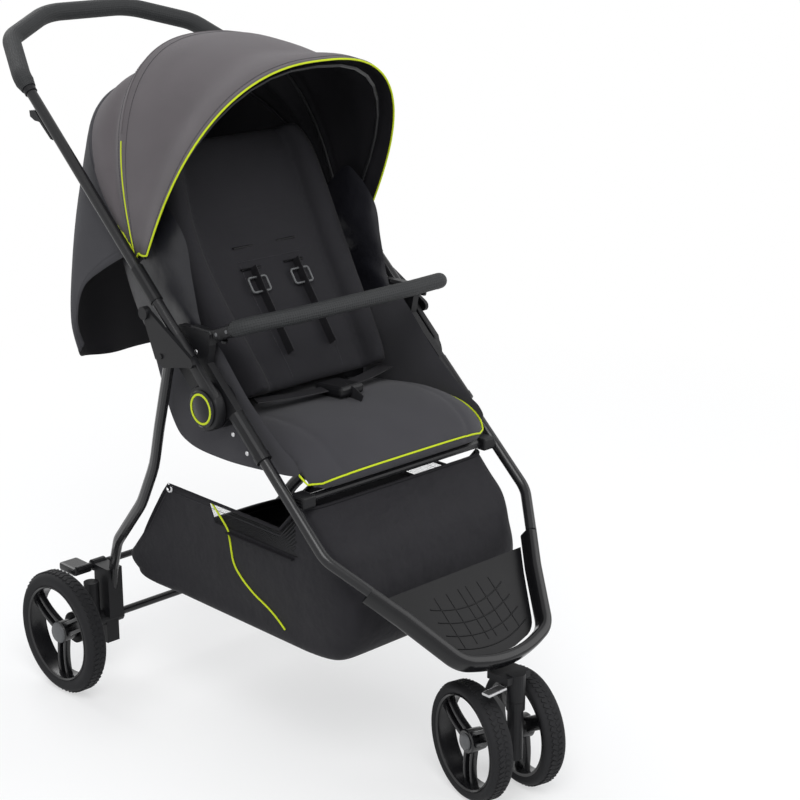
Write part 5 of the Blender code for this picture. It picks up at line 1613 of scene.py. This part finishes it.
class STROLLER_OT_finishes(bpy.types.Operator):
    """Makes the materials and gives the frame's own parts theirs"""

    bl_idname = "stroller.finishes"
    bl_label = "Finishes"

    def execute(self, context):
        make_finishes()
        finish_nodes()
        return {"FINISHED"}


class STROLLER_OT_tubes(bpy.types.Operator):
    """Makes the coated tubes, the hoop and the foam handlebar"""

    bl_idname = "stroller.tubes"
    bl_label = "Tubes and hoop"

    def execute(self, context):
        make_tubes()
        make_grip()
        make_hoop()
        return {"FINISHED"}


class STROLLER_OT_hubs(bpy.types.Operator):
    """Makes the fold hubs and their caps"""

    bl_idname = "stroller.hubs"
    bl_label = "Fold hubs"

    def execute(self, context):
        make_hubs()
        return {"FINISHED"}


class STROLLER_OT_wheels(bpy.types.Operator):
    """Makes the tyres, rims and hub caps"""

    bl_idname = "stroller.wheels"
    bl_label = "Wheels"

    def execute(self, context):
        make_wheels()
        return {"FINISHED"}


class STROLLER_OT_bumper(bpy.types.Operator):
    """Makes the bumper bar"""

    bl_idname = "stroller.bumper"
    bl_label = "Bumper bar"

    def execute(self, context):
        make_bumper()
        return {"FINISHED"}


class STROLLER_OT_canopy(bpy.types.Operator):
    """Makes the canopy and the curtain behind the seat"""

    bl_idname = "stroller.canopy"
    bl_label = "Canopy"

    def execute(self, context):
        make_canopy()
        make_curtain()
        return {"FINISHED"}


class STROLLER_OT_seat(bpy.types.Operator):
    """Makes the seat pad, backrest, side wings and straps"""

    bl_idname = "stroller.seat"
    bl_label = "Seat"

    def execute(self, context):
        make_seat_pad()
        make_backrest()
        make_gusset()
        make_side_panels()
        return {"FINISHED"}


class STROLLER_OT_basket(bpy.types.Operator):
    """Makes the basket under the seat"""

    bl_idname = "stroller.basket"
    bl_label = "Basket"

    def execute(self, context):
        make_basket()
        return {"FINISHED"}


class STROLLER_OT_fittings(bpy.types.Operator):
    """Makes the footplate's ridges, the rivets, the buttons and the block grooves"""

    bl_idname = "stroller.fittings"
    bl_label = "Small fittings"

    def execute(self, context):
        make_footplate()
        make_fittings()
        return {"FINISHED"}


class STROLLER_OT_stage(bpy.types.Operator):
    """Makes the floor, the lights and the camera"""

    bl_idname = "stroller.stage"
    bl_label = "Stage"

    def execute(self, context):
        make_stage()
        return {"FINISHED"}


STEPS = (STROLLER_OT_finishes, STROLLER_OT_stage, STROLLER_OT_tubes, STROLLER_OT_hubs, STROLLER_OT_wheels,
         STROLLER_OT_bumper, STROLLER_OT_canopy, STROLLER_OT_seat, STROLLER_OT_basket,
         STROLLER_OT_fittings)


class STROLLER_PT_panel(bpy.types.Panel):
    """Lists the stroller's sizes, colours and pieces"""

    bl_idname = "STROLLER_PT_panel"
    bl_label = "Folding stroller"
    bl_space_type = "VIEW_3D"
    bl_region_type = "UI"
    bl_category = "Stroller"

    def draw(self, context):
        for group in (context.scene.stroller_sizes, context.scene.stroller_colors):
            for name in group.__annotations__:
                self.layout.prop(group, name)
        for step in STEPS:
            self.layout.operator(step.bl_idname)


CLASSES = (StrollerSizes, StrollerColors, *STEPS, STROLLER_PT_panel)


def register():
    for cls in CLASSES:
        bpy.utils.register_class(cls)
    bpy.types.Scene.stroller_sizes = PointerProperty(type=StrollerSizes)
    bpy.types.Scene.stroller_colors = PointerProperty(type=StrollerColors)


def unregister():
    del bpy.types.Scene.stroller_colors
    del bpy.types.Scene.stroller_sizes
    for cls in reversed(CLASSES):
        bpy.utils.unregister_class(cls)


def main():
    register()
    for step in STEPS:
        family, action = step.bl_idname.split(".")
        getattr(getattr(bpy.ops, family), action)()


if __name__ == "__main__":
    main()
